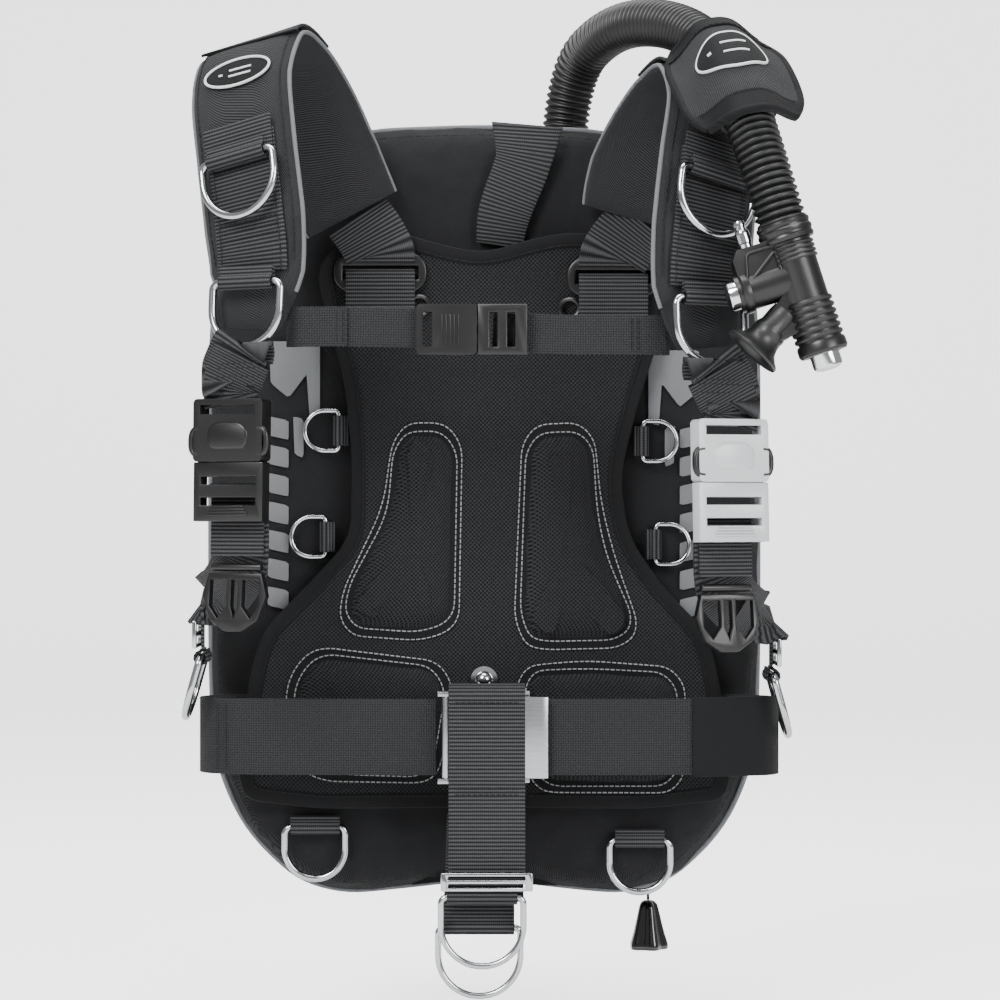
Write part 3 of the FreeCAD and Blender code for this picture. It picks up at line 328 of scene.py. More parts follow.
def wrinkled(piece: bpy.types.Object, scale: float, strength: float, depth: int = 2) -> bpy.types.Object:
    """Moves the surface in and out by soft noise.

    Args:
        piece: The object to change.
        scale: The wrinkles' size.
        strength: Their height.
        depth: How many finer layers the noise has.

    Returns:
        The same piece.
    """
    clouds = bpy.data.textures.new("wrinkles", "CLOUDS")
    clouds.noise_scale = scale
    clouds.noise_depth = depth
    return modified(piece, "DISPLACE", texture=clouds, strength=strength, mid_level=0.5,
                    texture_coords="LOCAL")


def sealed(piece: bpy.types.Object) -> bpy.types.Object:
    """Fills the piece's open ends and returns it."""
    with editing(piece, "EDGE"):
        bpy.ops.mesh.select_all(action="DESELECT")
        bpy.ops.mesh.select_non_manifold()
        bpy.ops.mesh.edge_face_add()
    return merged(piece)


def joined(name: str, pieces: Sequence[bpy.types.Object]) -> bpy.types.Object:
    """One object out of several.

    Args:
        name: The new object's name.
        pieces: The objects to join, of one material.

    Returns:
        The joined object.
    """
    deselect()
    for piece in pieces:
        piece.select_set(True)
    bpy.context.view_layer.objects.active = pieces[0]
    bpy.ops.object.join()
    pieces[0].name = name
    return pieces[0]


def shaped_grid(name: str, columns: int, rows: int, place: Callable[[float, float], Vector],
                uv_size: tuple[float, float] = (1, 1)) -> bpy.types.Object:
    """A grid whose points are moved to a surface.

    Args:
        name: The object's name.
        columns: Divisions along u.
        rows: Divisions along v.
        place: The surface point for u and v, each from 0 to 1.
        uv_size: The real width and length that the UV map is scaled to.

    Returns:
        The new object.
    """
    deselect()
    bpy.ops.mesh.primitive_grid_add(x_subdivisions=columns, y_subdivisions=rows, size=2)
    piece = bpy.context.object
    piece.name = name
    for vertex in piece.data.vertices:
        vertex.co = place((vertex.co.x + 1) / 2, (vertex.co.y + 1) / 2)
    for loop in piece.data.uv_layers.active.data:
        loop.uv = (loop.uv.x * uv_size[0], loop.uv.y * uv_size[1])
    return piece


def strap(name: str, frames: Sequence[Matrix], width: float, thickness: float,
          shares: Sequence[float] | None = None, crown: float = 0.0) -> bpy.types.Object:
    """A strip of webbing along a row of frames.

    Args:
        name: The object's name.
        frames: Frames with local X across and local Y outwards.
        width: The full width.
        thickness: The webbing's thickness.
        shares: The share of the width at each frame.
        crown: How far the middle stands out from the edges.

    Returns:
        The strip, with a UV map in metres.
    """
    last = len(frames) - 1
    scale = shares or [1.0] * len(frames)
    run = [0.0]
    for start, end in zip(frames, frames[1:]):
        run.append(run[-1] + (end.translation - start.translation).length)

    def place(u: float, v: float) -> Vector:
        """The point across the strip at u and along it at v."""
        index = round(v * last)
        across = (u - 0.5) * width * scale[index]
        return frames[index] @ Vector((across, crown * (1 - (2 * u - 1) ** 2), 0))

    piece = shaped_grid(name, 6, last, place, (width, 1))
    for loop in piece.data.uv_layers.active.data:
        loop.uv.y = run[round(loop.uv.y * last)]
    merged(thickened(piece, thickness))
    return smooth(beveled(piece, thickness * 0.28, 2, 50), 50)


def flat_strap(name: str, points: Sequence[Vector], across: Vector, width: float, thickness: float,
               bend: float = 0.006, closed: bool = False) -> bpy.types.Object:
    """A strip of webbing that bends in one plane.

    Args:
        name: The object's name.
        points: The corners of its path.
        across: The direction of its width.
        width: Its width.
        thickness: Its thickness.
        bend: The rounding of its bends.
        closed: Whether it is a closed band.

    Returns:
        The strip.
    """
    path = rounded(points, bend, 6, closed)
    if closed:
        path.append(path[0])
    stations = [Station(point, across) for point in path]
    return strap(name, station_frames(stations), width, thickness)


def folded_loop(place: Matrix, width: float, wire: float, tail: float) -> bpy.types.Object:
    """A strip of webbing folded round a ring's bar.

    Args:
        place: The frame of the ring, with its bar along local X.
        width: The strip's width.
        wire: The bar's diameter.
        tail: How far the two layers run on above the bar.

    Returns:
        The folded strip.
    """
    reach = wire / 2 + 0.0016
    turned = place.to_3x3()
    bends = [math.radians(110 + step * 32) for step in range(11)]
    path = [Vector((0, -0.0012, reach + tail))]
    path += [Vector((0, math.cos(angle), math.sin(angle))) * reach for angle in bends]
    path.append(Vector((0, 0.0012, reach + tail)))
    points = [place.translation + turned @ point for point in path]
    frames = station_frames([Station(point, turned.col[0]) for point in points])
    return strap("part", frames, width, 0.0018)


def lathe(name: str, place: Matrix, profile: Sequence[tuple[float, float]], sides: int = 48,
          flutes: int = 0, flute_depth: float = 0.0) -> bpy.types.Object:
    """A turned piece.

    Args:
        name: The object's name.
        place: The frame whose local Z is the axis.
        profile: Radius and height pairs in millimetres, along the axis or round a closed loop.
        sides: Points around.
        flutes: How many flutes run along it.
        flute_depth: The flutes' depth as a share of the radius.

    Returns:
        The turned piece with its seam and poles closed.
    """
    last = len(profile) - 1

    def point(u: float, v: float) -> Vector:
        """The surface point at angle u and profile place v."""
        radius, height = profile[round(v * last)]
        angle = u * math.tau
        radius *= 1 - flute_depth * (0.5 - 0.5 * math.cos(flutes * angle)) if flutes else 1
        return place @ (Vector((radius * math.cos(angle), radius * math.sin(angle), height)) * 0.001)

    piece = shaped_grid(name, sides, last, point)
    return smooth(merged(piece), 32)


def swept(name: str, path: Sequence[Vector], radius: Callable[[float], float], sides: int = 28,
          wall: float = 0.0) -> bpy.types.Object:
    """A round tube along a path.

    Args:
        name: The object's name.
        path: The points along its middle.
        radius: The outer radius at a distance along the path.
        sides: Points around.
        wall: The wall's thickness, or 0 for a rod with closed ends.

    Returns:
        The tube.
    """
    distance, frames, side = [0.0], [], RIGHT
    for i, point in enumerate(path):
        along = (path[min(i + 1, len(path) - 1)] - path[max(i - 1, 0)]).normalized()
        side = (side - along * side.dot(along)).normalized()
        turned = axes(point, side, along)
        frames.append(turned)
        if i:
            distance.append(distance[-1] + (point - path[i - 1]).length)
    last = len(path) - 1

    def place(u: float, v: float) -> Vector:
        """The surface point at angle u and path place v."""
        index = round(v * last)
        reach, angle = radius(distance[index]), u * math.tau
        return frames[index] @ Vector((reach * math.cos(angle), reach * math.sin(angle), 0))

    piece = shaped_grid(name, sides, last, place, (math.tau * radius(0.0), distance[-1]))
    merged(piece)
    closed = merged(thickened(piece, wall, -1)) if wall else sealed(piece)
    return smooth(closed, 60)


def outlined(name: str, points: Sequence[Vector]) -> bpy.types.Object:
    """A flat face with the given outline, facing the side from which it runs counter-clockwise."""
    deselect()
    bpy.ops.mesh.primitive_circle_add(vertices=len(points), fill_type="NGON", radius=1)
    piece = bpy.context.object
    piece.name = name
    for vertex, point in zip(piece.data.vertices, points):
        vertex.co = point
    return piece


def crowned(name: str, points: Sequence[Vector], insets: Sequence[tuple[float, float]],
            thickness: float = 0.0) -> bpy.types.Object:
    """A face that rises in steps from its outline.

    Args:
        name: The object's name.
        points: The outline.
        insets: How far each step goes in and how far it rises, in millimetres.
        thickness: How far the piece goes back behind the outline, as a shell.

    Returns:
        The crowned piece.
    """
    piece = outlined(name, points)
    with editing(piece):
        for inward, rise in insets:
            bpy.ops.mesh.inset(thickness=inward * 0.001, depth=rise * 0.001, use_even_offset=False)
    if thickness:
        thickened(piece, thickness, -1)
    return smooth(piece, 50)


def ring_plate(name: str, points: Sequence[Vector], width: float, thickness: float) -> bpy.types.Object:
    """A flat tape of one width just inside an outline.

    Args:
        name: The object's name.
        points: The outline.
        width: The tape's width.
        thickness: Its thickness, behind the outline's plane.

    Returns:
        The tape.
    """
    piece = outlined(name, points)
    with editing(piece):
        bpy.ops.mesh.inset(thickness=width, depth=0, use_even_offset=False)
        bpy.ops.mesh.delete(type="FACE")
    thickened(piece, thickness, -1)
    return smooth(beveled(piece, thickness * 0.35, 2, 50), 50)


def slab(name: str, points: Sequence[Vector], thickness: float, edge: float = 0.0005) -> bpy.types.Object:
    """A plate behind an outline with slightly rounded edges."""
    return smooth(beveled(thickened(outlined(name, points), thickness, -1), edge), 35)


def bar(name: str, place: Matrix, extent: Vector, edge: float = 0.0006) -> bpy.types.Object:
    """A block of the given extent about a frame, with its edges rounded.

    Args:
        name: The object's name.
        place: The frame at its middle.
        extent: Its size along the frame's axes.
        edge: The rounding.

    Returns:
        The block.
    """
    deselect()
    bpy.ops.mesh.primitive_cube_add(size=1)
    piece = bpy.context.object
    piece.name = name
    for vertex in piece.data.vertices:
        vertex.co = place @ Vector([a * b for a, b in zip(vertex.co, extent)])
    return smooth(beveled(merged(piece), edge, 3), 35)


def ring_of_bars(place: Matrix, count: int, first: Vector, extent: Vector,
                 edge: float) -> list[bpy.types.Object]:
    """Blocks set in a ring round an axis that points away from the wearer.

    Args:
        place: The frame whose local Z is the axis.
        count: How many blocks there are.
        first: The first block's place in the frame, with local Y at 0.
        extent: Each block's size.
        edge: The rounding of its edges.

    Returns:
        The blocks.
    """
    blocks = []
    for i in range(count):
        angle = i * math.tau / count
        out = Vector((math.cos(angle), 0, math.sin(angle)))
        spot = place @ Vector((out.x * first.x, out.z * first.x, first.z))
        blocks.append(bar("block", axes(spot, out, BACK), extent, edge))
    return blocks


def round_curve(name: str, radius: float, resolution: int = 2) -> bpy.types.Curve:
    """A curve without splines that becomes a round line of the given radius."""
    curve = bpy.data.curves.new(name, "CURVE")
    curve.dimensions = "3D"
    curve.bevel_depth = radius
    curve.bevel_resolution = resolution
    return curve


def add_spline(curve: bpy.types.Curve, path: Sequence[Vector], kind: str = "POLY") -> bpy.types.Spline:
    """Adds a spline through a path's points and returns it."""
    spline = curve.splines.new(kind)
    spline.points.add(len(path) - 1)
    for point, place in zip(spline.points, path):
        point.co = (*place, 1)
    return spline


def as_mesh(name: str, curve: bpy.types.Curve) -> bpy.types.Object:
    """The curve as a smooth mesh object."""
    pick(linked(name, curve))
    bpy.ops.object.convert(target="MESH")
    return smooth(bpy.context.object, 60)


def line_mesh(name: str, path: Sequence[Vector], radius: float, closed: bool = False) -> bpy.types.Object:
    """A thin round line such as piping, made from a curve and turned into a mesh."""
    curve = round_curve(name, radius)
    add_spline(curve, path).use_cyclic_u = closed
    return as_mesh(name, curve)


def stitches(name: str, path: Sequence[Vector], pitch: float = 0.0045, thread: float = 0.0009,
             closed: bool = False) -> bpy.types.Object:
    """A row of stitches along a path.

    Args:
        name: The object's name.
        path: The row's points, on the cloth.
        pitch: The distance from one stitch to the next.
        thread: The thread's thickness.
        closed: Whether the row returns to its start.

    Returns:
        One object with every stitch.
    """
    places = spaced(path, pitch, closed)
    ends = places[1:] + places[:1] if closed else places[1:]
    curve = round_curve(name, thread / 2, 1)
    curve.use_fill_caps = True
    for start, end in zip(places, ends):
        add_spline(curve, [start.lerp(end, share) for share in (0.14, 0.86)])
    return as_mesh(name, curve)


def softened(node: str, name: str, width: float, segments: int = 2, angle: float = 30) -> bpy.types.Object:
    """A copy of a CAD node with its edges rounded, which stands for the node.

    Args:
        node: The CAD node.
        name: The copy's name.
        width: The rounding.
        segments: The rounding's steps.
        angle: Edges that turn by more than this many degrees are rounded.

    Returns:
        The rounded copy.
    """
    piece = linked(name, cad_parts[node].data.copy())
    piece.data.materials.clear()
    merged(piece, outward=False)
    with editing(piece):
        bpy.ops.mesh.dissolve_limited(angle_limit=math.radians(2))
    modified(piece, "BEVEL", width=width, segments=segments, limit_method="ANGLE",
             angle_limit=math.radians(angle), use_clamp_overlap=True)
    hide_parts(node)
    return smooth(piece, 32)


# ---------------------------------------------------------------- finishes


def linear(code: str) -> tuple[float, float, float, float]:
    """The linear colour of an sRGB hex code such as 1c1c1e."""
    values = [int(code[i:i + 2], 16) / 255 for i in (0, 2, 4)]
    return (*[v / 12.92 if v <= 0.04045 else ((v + 0.055) / 1.055) ** 2.4 for v in values], 1.0)


class Texture(Enum):
    """The surface pattern that a finish carries."""

    GRAIN = "fine moulded grain"
    CLOTH = "twill weave across the piece"
    TWILL = "twill weave, from the UV map"
    RIBBED = "ribs across a strap, from its UV map"
    BELT = "fine basket weave along a strap, from its UV map"
    MESH = "knitted mesh with small holes"
    BRUSHED = "fine brush lines"
    POLISHED = "polish with faint smudges"


class Nodes:
    """A material's node tree while it is built."""

    def __init__(self, name: str) -> None:
        """Starts a material with a Principled shader."""
        self.material = bpy.data.materials.new(name)
        self.material.use_nodes = True
        self.tree = self.material.node_tree
        self.shader = self.tree.nodes["Principled BSDF"]

    def add(self, kind: str, settings: dict[str, object] | None = None, **sockets: object) -> bpy.types.Node:
        """Adds a node.

        Args:
            kind: The node's type without its ShaderNode prefix.
            settings: The node's own properties.
            sockets: Input values or links, by name with underscores for spaces, or in<number>.

        Returns:
            The node.
        """
        item = self.tree.nodes.new("ShaderNode" + kind)
        for key, value in (settings or {}).items():
            setattr(item, key, value)
        for key, value in sockets.items():
            socket = item.inputs[int(key[2:])] if key[:2] == "in" and key[2:].isdigit() else item.inputs[
                key.replace("_", " ")]
            self.join(value, socket)
        return item

    def join(self, value: object, socket: bpy.types.NodeSocket) -> None:
        """Links a socket or a node's first output, or sets a plain value."""
        if isinstance(value, bpy.types.Node):
            value = value.outputs[0]
        if isinstance(value, bpy.types.NodeSocket):
            self.tree.links.new(value, socket)
        else:
            socket.default_value = value

    def math(self, operation: str, *values: object) -> bpy.types.NodeSocket:
        """The result of a Math node."""
        sockets = {f"in{i}": value for i, value in enumerate(values)}
        return self.add("Math", {"operation": operation}, **sockets).outputs[0]

    def ridge(self, value: object, pitch: float) -> bpy.types.NodeSocket:
        """A wave from 0 to 1 with one crest for each pitch of the value."""
        return self.math("ABSOLUTE", self.math("SINE", self.math("MULTIPLY", value, math.pi / pitch)))

    def flat_coordinates(self) -> tuple[bpy.types.NodeSocket, bpy.types.NodeSocket]:
        """Two coordinates that run across and up a piece that faces the wearer, in metres."""
        split = self.add("SeparateXYZ", None, in0=self.add("TexCoord").outputs["Object"])
        across = self.math("ADD", split.outputs[0], split.outputs[1])
        return across, self.math("ADD", split.outputs[2], self.math("MULTIPLY", split.outputs[1], 0.35))

    def uv(self) -> tuple[bpy.types.NodeSocket, bpy.types.NodeSocket]:
        """The piece's own UV coordinates, in metres."""
        split = self.add("SeparateXYZ", None, in0=self.add("TexCoord").outputs["UV"])
        return split.outputs[0], split.outputs[1]

    def noise(self, scale: float, detail: float = 3.0, stretch: Vector | None = None) -> bpy.types.NodeSocket:
        """Noise on object coordinates.

        Args:
            scale: Cells per metre.
            detail: Octaves.
            stretch: The scale along each axis.

        Returns:
            The noise's value.
        """
        place = self.add("Mapping", None, Vector=self.add("TexCoord").outputs["Object"],
                         Scale=stretch or Vector((1, 1, 1)))
        return self.add("TexNoise", None, Vector=place, Scale=scale, Detail=detail).outputs[0]

    def checker(self, across: object, along: object, cell: float) -> bpy.types.NodeSocket:
        """A checker from 0 to 1 on two coordinates."""
        parts = [self.math("FLOOR", self.math("DIVIDE", value, cell)) for value in (across, along)]
        return self.math("PINGPONG", self.math("ADD", *parts), 1.0)


CLOTH_ROUGHNESS = 0.55


@dataclass(frozen=True)
class Finish:
    """A material: its colour, shine, pattern and the pattern's real size."""

    name: str
    # colour: the pattern's low parts; in the spacer mesh's holes this dark colour is painted shade.
    colour: str
    # light: the pattern's raised parts; on the woven and braided finishes this is a painted highlight on the
    # thread crests, and on grain, brushed and polished finishes a lighter random tone.
    light: str
    roughness: float
    texture: Texture = Texture.GRAIN
    pitch: float = 0.0012
    relief: float = 0.0002
    metallic: float = 0.0
    sheen: float = 0.0
    coat: float = 0.0

    def relief_of(self, nodes: Nodes) -> bpy.types.NodeSocket:
        """The pattern's height from 0 to 1.

        Args:
            nodes: The material's nodes.

        Returns:
            The socket that carries the height.
        """
        # In the woven patterns below the raised threads come out near 1 and take the light colour as a
        # painted highlight.
        if self.texture in (Texture.CLOTH, Texture.TWILL):
            across, along = nodes.uv() if self.texture is Texture.TWILL else nodes.flat_coordinates()
            lines = nodes.ridge(nodes.math("ADD", across, along), self.pitch)
            dashes = nodes.ridge(nodes.math("SUBTRACT", across, along), self.pitch * 0.6)
            return nodes.math("MULTIPLY", nodes.math("POWER", lines, 1.6), nodes.math("POWER", dashes, 0.7))
        if self.texture is Texture.BELT:
            across, along = nodes.uv()
            warp = nodes.ridge(across, self.pitch)
            weft = nodes.ridge(along, self.pitch)
            over = nodes.checker(across, along, self.pitch)
            return nodes.math("ADD", nodes.math("MULTIPLY", warp, over),
                              nodes.math("MULTIPLY", weft, nodes.math("SUBTRACT", 1.0, over)))
        if self.texture is Texture.RIBBED:
            across, along = nodes.uv()
            ribs = nodes.ridge(along, self.pitch)
            strands = nodes.math("MULTIPLY", nodes.ridge(across, 0.0013), 0.55)
            return nodes.math("MULTIPLY", nodes.math("POWER", ribs, 2.2), nodes.math("ADD", strands, 0.45))
        if self.texture is Texture.MESH:
            across, along = nodes.flat_coordinates()
            first = nodes.ridge(nodes.math("ADD", across, along), self.pitch)
            second = nodes.ridge(nodes.math("SUBTRACT", across, along), self.pitch)
            hole = nodes.math("MULTIPLY", first, second)
            # The holes come out at 0 and take the dark colour as painted shade.
            return nodes.math("MAXIMUM", nodes.math("SUBTRACT", 1.0, nodes.math("MULTIPLY", hole, 1.25)), 0.0)
        if self.texture is Texture.BRUSHED:
            return nodes.noise(900, 2, Vector((0.05, 1, 1)))
        if self.texture is Texture.POLISHED:
            return nodes.noise(25, 4)
        return nodes.noise(1 / self.pitch, 3)

    def build(self) -> bpy.types.Material:
        """The material, with colour, roughness and bump driven by the pattern; the light colour on the woven
        patterns' raised threads is a painted highlight, and the dark colour in the spacer mesh's holes is
        painted shade.
        """
        nodes = Nodes(self.name)
        height = self.relief_of(nodes)
        broad = nodes.noise(14, 4)
        # The pattern mixes the two colours: on woven and braided finishes the light colour on the thread
        # crests is a painted highlight standing in for the threads' sheen, and on the spacer mesh the dark
        # colour in the holes is painted shade.
        share = nodes.math("ADD", nodes.math("MULTIPLY", height, 0.85), nodes.math("MULTIPLY", broad, 0.15))
        mix = nodes.add("Mix", {"data_type": "RGBA"}, Factor=share)
        mix.inputs["A"].default_value = linear(self.colour)
        mix.inputs["B"].default_value = linear(self.light)
        mixed = next(item for item in mix.outputs if item.type == "RGBA")
        nodes.join(mixed, nodes.shader.inputs["Base Color"])
        spread = 0.22 if self.metallic else 0.16
        rough = nodes.math("ADD", self.roughness - spread / 2, nodes.math("MULTIPLY", broad, spread))
        nodes.join(rough, nodes.shader.inputs["Roughness"])
        nodes.shader.inputs["Metallic"].default_value = self.metallic
        nodes.shader.inputs["Sheen Weight"].default_value = self.sheen
        nodes.shader.inputs["Sheen Roughness"].default_value = 0.4
        if self.roughness > CLOTH_ROUGHNESS:
            nodes.shader.inputs["Specular IOR Level"].default_value = 0.12
        nodes.shader.inputs["Coat Weight"].default_value = self.coat
        nodes.shader.inputs["Coat Roughness"].default_value = 0.12
        bump = nodes.add("Bump", None, Height=height, Distance=self.relief, Strength=0.9)
        nodes.join(bump.outputs[0], nodes.shader.inputs["Normal"])
        return nodes.material


# Knitted nylon spacer mesh of the pad's faces, with small open holes; the dark colour in the holes is painted
# shade.
SPACER_MESH = Finish("spacer_mesh", "010101", "2e2f31", 0.8, Texture.MESH, 0.0028, 0.0005, sheen=0.04)
# Heavy Cordura on the shoulder straps and the hose sleeve; its lighter twill lines are a painted highlight on
# the threads.
CORDURA = Finish("strap_cordura", "020203", "47484a", 0.76, Texture.TWILL, 0.0016, 0.0004, sheen=0.04)
# Coated ballistic nylon of the air cell; its lighter weave lines are a painted highlight on the threads.
WING_NYLON = Finish("wing_nylon", "040405", "2f3032", 0.66, Texture.CLOTH, 0.0013, 0.0003, sheen=0.03)
# Ribbed polyamide webbing of the shoulder, side and crotch straps; its lighter rib crests are a painted
# highlight.
WEBBING = Finish("ribbed_webbing", "010102", "4c4d4f", 0.7, Texture.RIBBED, 0.0025, 0.0006, sheen=0.03)
# Finely woven 50 mm belt webbing; its lighter raised threads are a painted highlight.
BELT = Finish("belt_webbing", "020203", "303133", 0.7, Texture.BELT, 0.0016, 0.0004, sheen=0.03)
# Plain woven tape that binds the cut edges; its lighter weave lines are a painted highlight.
BINDING = Finish("binding_tape", "0b0b0c", "1f2022", 0.62, Texture.CLOTH, 0.0008, 0.0002, sheen=0.03)
# Light grey woven piping and stitching thread; the piping's lighter weave lines are a painted highlight.
PIPING = Finish("grey_piping", "55575a", "7c7e81", 0.6, Texture.CLOTH, 0.0012, 0.0002, sheen=0.05)
THREAD = Finish("grey_thread", "6c6d70", "a0a2a4", 0.6, Texture.GRAIN, 0.0004, 0.0001)
DARK_THREAD = Finish("dark_thread", "0e0e0f", "2c2d2f", 0.6, Texture.GRAIN, 0.0004, 0.0001)
# White woven rim and bars of the badges.
BADGE_WHITE = Finish("badge_white", "b6b8ba", "dedfe0", 0.58, Texture.GRAIN, 0.0006, 0.0001)
# Silver grey reflective ink on the air cell; its lighter weave lines are a painted highlight.
REFLECTIVE = Finish("reflective_print", "56585a", "77797b", 0.56, Texture.CLOTH, 0.0013, 0.0001)
# Satin black acetal of the moulded buckles and fittings.
ACETAL = Finish("black_acetal", "030304", "0b0b0c", 0.36, Texture.GRAIN, 0.0006, 0.00005, coat=0.06)
# Silver sprayed acetal of the right side buckle.
SILVER_ACETAL = Finish("silver_acetal", "9fa1a4", "c9cbcd", 0.34, Texture.GRAIN, 0.0007, 0.00005, coat=0.2)
# Glossy black acetal of the pull knob.
GLOSS_KNOB = Finish("gloss_acetal", "030304", "09090a", 0.16, Texture.GRAIN, 0.002, 0.00002, coat=0.6)
# Electropolished stainless rings.
STAINLESS = Finish("polished_stainless", "9da0a3", "cdd0d2", 0.16, Texture.POLISHED, 0.01, 0.00002,
                   metallic=1.0)
# Satin brushed stainless of the belt and cam buckles.
BRUSHED = Finish("brushed_stainless", "8f9295", "bfc1c3", 0.3, Texture.BRUSHED, 0.001, 0.00003, metallic=1.0)
# Chromed brass of the buttons and the inlet.
CHROME = Finish("chromed_brass", "bfc2c5", "e6e8ea", 0.1, Texture.POLISHED, 0.01, 0.00001, metallic=1.0)
# Anodised aluminium backplate.
ANODISED = Finish("anodised_aluminium", "8f9295", "b4b7ba", 0.36, Texture.GRAIN, 0.0006, 0.00003,
                  metallic=1.0)
# Corrugated hose rubber and the softer silicone of the mouthpiece.
HOSE_RUBBER = Finish("hose_rubber", "040405", "0f1011", 0.44, Texture.GRAIN, 0.0012, 0.00006)
SILICONE = Finish("mouth_silicone", "080809", "131415", 0.42, Texture.GRAIN, 0.001, 0.00004, coat=0.1)
# Braided nylon pull cord; its lighter braid lines are a painted highlight.
CORD = Finish("pull_cord", "060607", "303136", 0.65, Texture.CLOTH, 0.0008, 0.0002, sheen=0.05)


class Dresser:
    """Gives pieces their materials, bodies and CAD nodes."""

    def __init__(self) -> None:
        """Starts with no materials built."""
        self.built: dict[str, bpy.types.Material] = {}

    def material(self, finish: Finish) -> bpy.types.Material:
        """The finish's material, built once."""
        if finish.name not in self.built:
            self.built[finish.name] = finish.build()
        return self.built[finish.name]

    def dress(self, piece: bpy.types.Object, finish: Finish, body: str = HARNESS, slot: str = "",
              nodes: Sequence[str] = ()) -> bpy.types.Object:
        """Finishes a piece.

        Args:
            piece: The piece.
            finish: Its material.
            body: The CAD body that it rides on, or an empty name when it bends between two.
            slot: Not used.
            nodes: The CAD nodes that it stands for.

        Returns:
            The same piece.
        """
        piece.data.materials.clear()
        piece.data.materials.append(self.material(finish))
        if nodes:
            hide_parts(*nodes)
        if body:
            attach(piece, body)
        log.info("%s in %s", piece.name, finish.name)
        return piece

    def carry_over(self, node: str, finish: Finish) -> None:
        """Dresses a CAD node that is shown as it is."""
        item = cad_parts[node]
        item.data.materials.clear()
        item.data.materials.append(self.material(finish))
        log.info("%s carried over in %s", node, finish.name)


DRESSER = Dresser()
dress, carry_over = DRESSER.dress, DRESSER.carry_over


def sew(name: str, rows: Sequence[bpy.types.Object], slot: str) -> None:
    """Joins rows of stitches into one piece in dark thread."""
    dress(joined(name, rows), DARK_THREAD, slot=slot)


def mould(node: str, name: str, width: float, segments: int, finish: Finish, body: str = HARNESS,
          slot: str = "black_acetal") -> None:
    """Dresses a copy of a CAD node with its edges rounded.

    Args:
        node: The CAD node.
        name: The copy's name.
        width: The rounding.
        segments: The rounding's steps.
        finish: Its material.
        body: The CAD body that it rides on.
        slot: A material slot name, passed on to dress.
    """
    dress(softened(node, name, width, segments), finish, body, slot)


# ---------------------------------------------------------------- air cell


@dataclass
class AirCell:
    """The air cell behind the pad, with its piping, reflective stripes and handle; its lower rings are built
    with the other loose rings.
    """

    seam_y: float = -78.0
    half_outline: tuple[tuple[float, float], ...] = (
        (0, -163), (62, -170), (95, -173), (126, -164), (162, -130), (183, -80), (185, -9), (185, 190),
        (179, 268), (146, 317), (84, 341), (0, 344),
    )
    steps: tuple[tuple[float, float], ...] = (
        (2, 5), (4, 6), (6, 4.2), (9, 2.8), (12, 1.6), (14, 0.6), (16, 0.2),
    )
    cylinder_radius: float = 0.0935
    cylinder_top: float = 0.262

    def body(self) -> bpy.types.Object:
        """Two crowned panels that meet at the seam, wrinkled and hollowed where the cylinder lies."""
        points = outline_xz(mirrored(self.half_outline), self.seam_y, 26, 9)
        cell = crowned("air_cell", points, self.steps)
        wrinkled(subdivided(cell, 2), 0.05, 0.005)
        wrinkled(cell, 0.016, 0.0022, 3)
        seam = self.seam_y * 0.001
        back = linked("cell_back", cell.data.copy())
        for vertex in back.data.vertices:
            vertex.co.y = 2 * seam - vertex.co.y
        with editing(back):
            bpy.ops.mesh.flip_normals()
        cell = merged(joined("air_cell", [cell, back]), outward=False)
        for vertex in cell.data.vertices:
            inside = abs(vertex.co.x) < self.cylinder_radius and vertex.co.z < self.cylinder_top
            if inside:
                limit = -math.sqrt(self.cylinder_radius ** 2 - vertex.co.x ** 2)
                vertex.co.y = min(vertex.co.y, limit)
        return smooth(cell, 70)

    def stripes(self) -> bpy.types.Object:
        """Plain slanted shapes in reflective ink on both sides of the cell."""
        shapes = [
            ((-144, 198), (-110, 198), (-110, 150), (-117, 147), (-119, 176), (-131, 160), (-143, 170)),
            ((-128, 148), (-121, 146), (-121, 120), (-127, 122)),
        ]
        shapes += [((-145, 148 - i * 19), (-131, 145 - i * 19), (-131, 132 - i * 19), (-145, 135 - i * 19))
                   for i in range(7)]
        bars = []
        for shape in shapes:
            bars.append(slab("shape", outline_xz(shape[::-1], -100.4, 1, 3), 0.0004, 0.0001))
            bars.append(slab("shape", outline_xz([(-x, z - 6) for x, z in shape], -100.4, 1, 3), 0.0004,
                             0.0001))
        return joined("cell_stripes", bars)

    def build(self) -> None:
        """Builds and dresses the cell, its piping and the pieces on it."""
        dress(self.body(), WING_NYLON, slot="wing_nylon", nodes=["wing"])
        points = outline_xz(mirrored(self.half_outline), self.seam_y, 26, 6)
        dress(line_mesh("cell_piping", points, 0.0019, True), PIPING, slot="wing_nylon")
        row = [Vector((p.x * 0.965, -0.0945, 0.084 + (p.z - 0.084) * 0.975)) for p in points]
        dress(stitches("cell_stitches", row, 0.006, 0.0008, True), DARK_THREAD, slot="wing_nylon")
        dress(self.stripes(), REFLECTIVE, slot="wing_nylon")
        handle = [mm(29, -101.5, 343), mm(26, -104.5, 318), mm(14, -104.5, 285), mm(10, -101.8, 262)]
        stations = flowing([Station(p, Vector((1, 0, 0.12)), share) for p, share in
                            zip(handle, (1.1, 0.85, 0.8, 0.7))])
        frames = station_frames(stations)
        piece = strap("carry_handle", frames, 0.044, 0.0022, [s.share for s in stations])
        dress(piece, WEBBING, slot="webbing", nodes=["top_handle"])


# ---------------------------------------------------------------- back pad


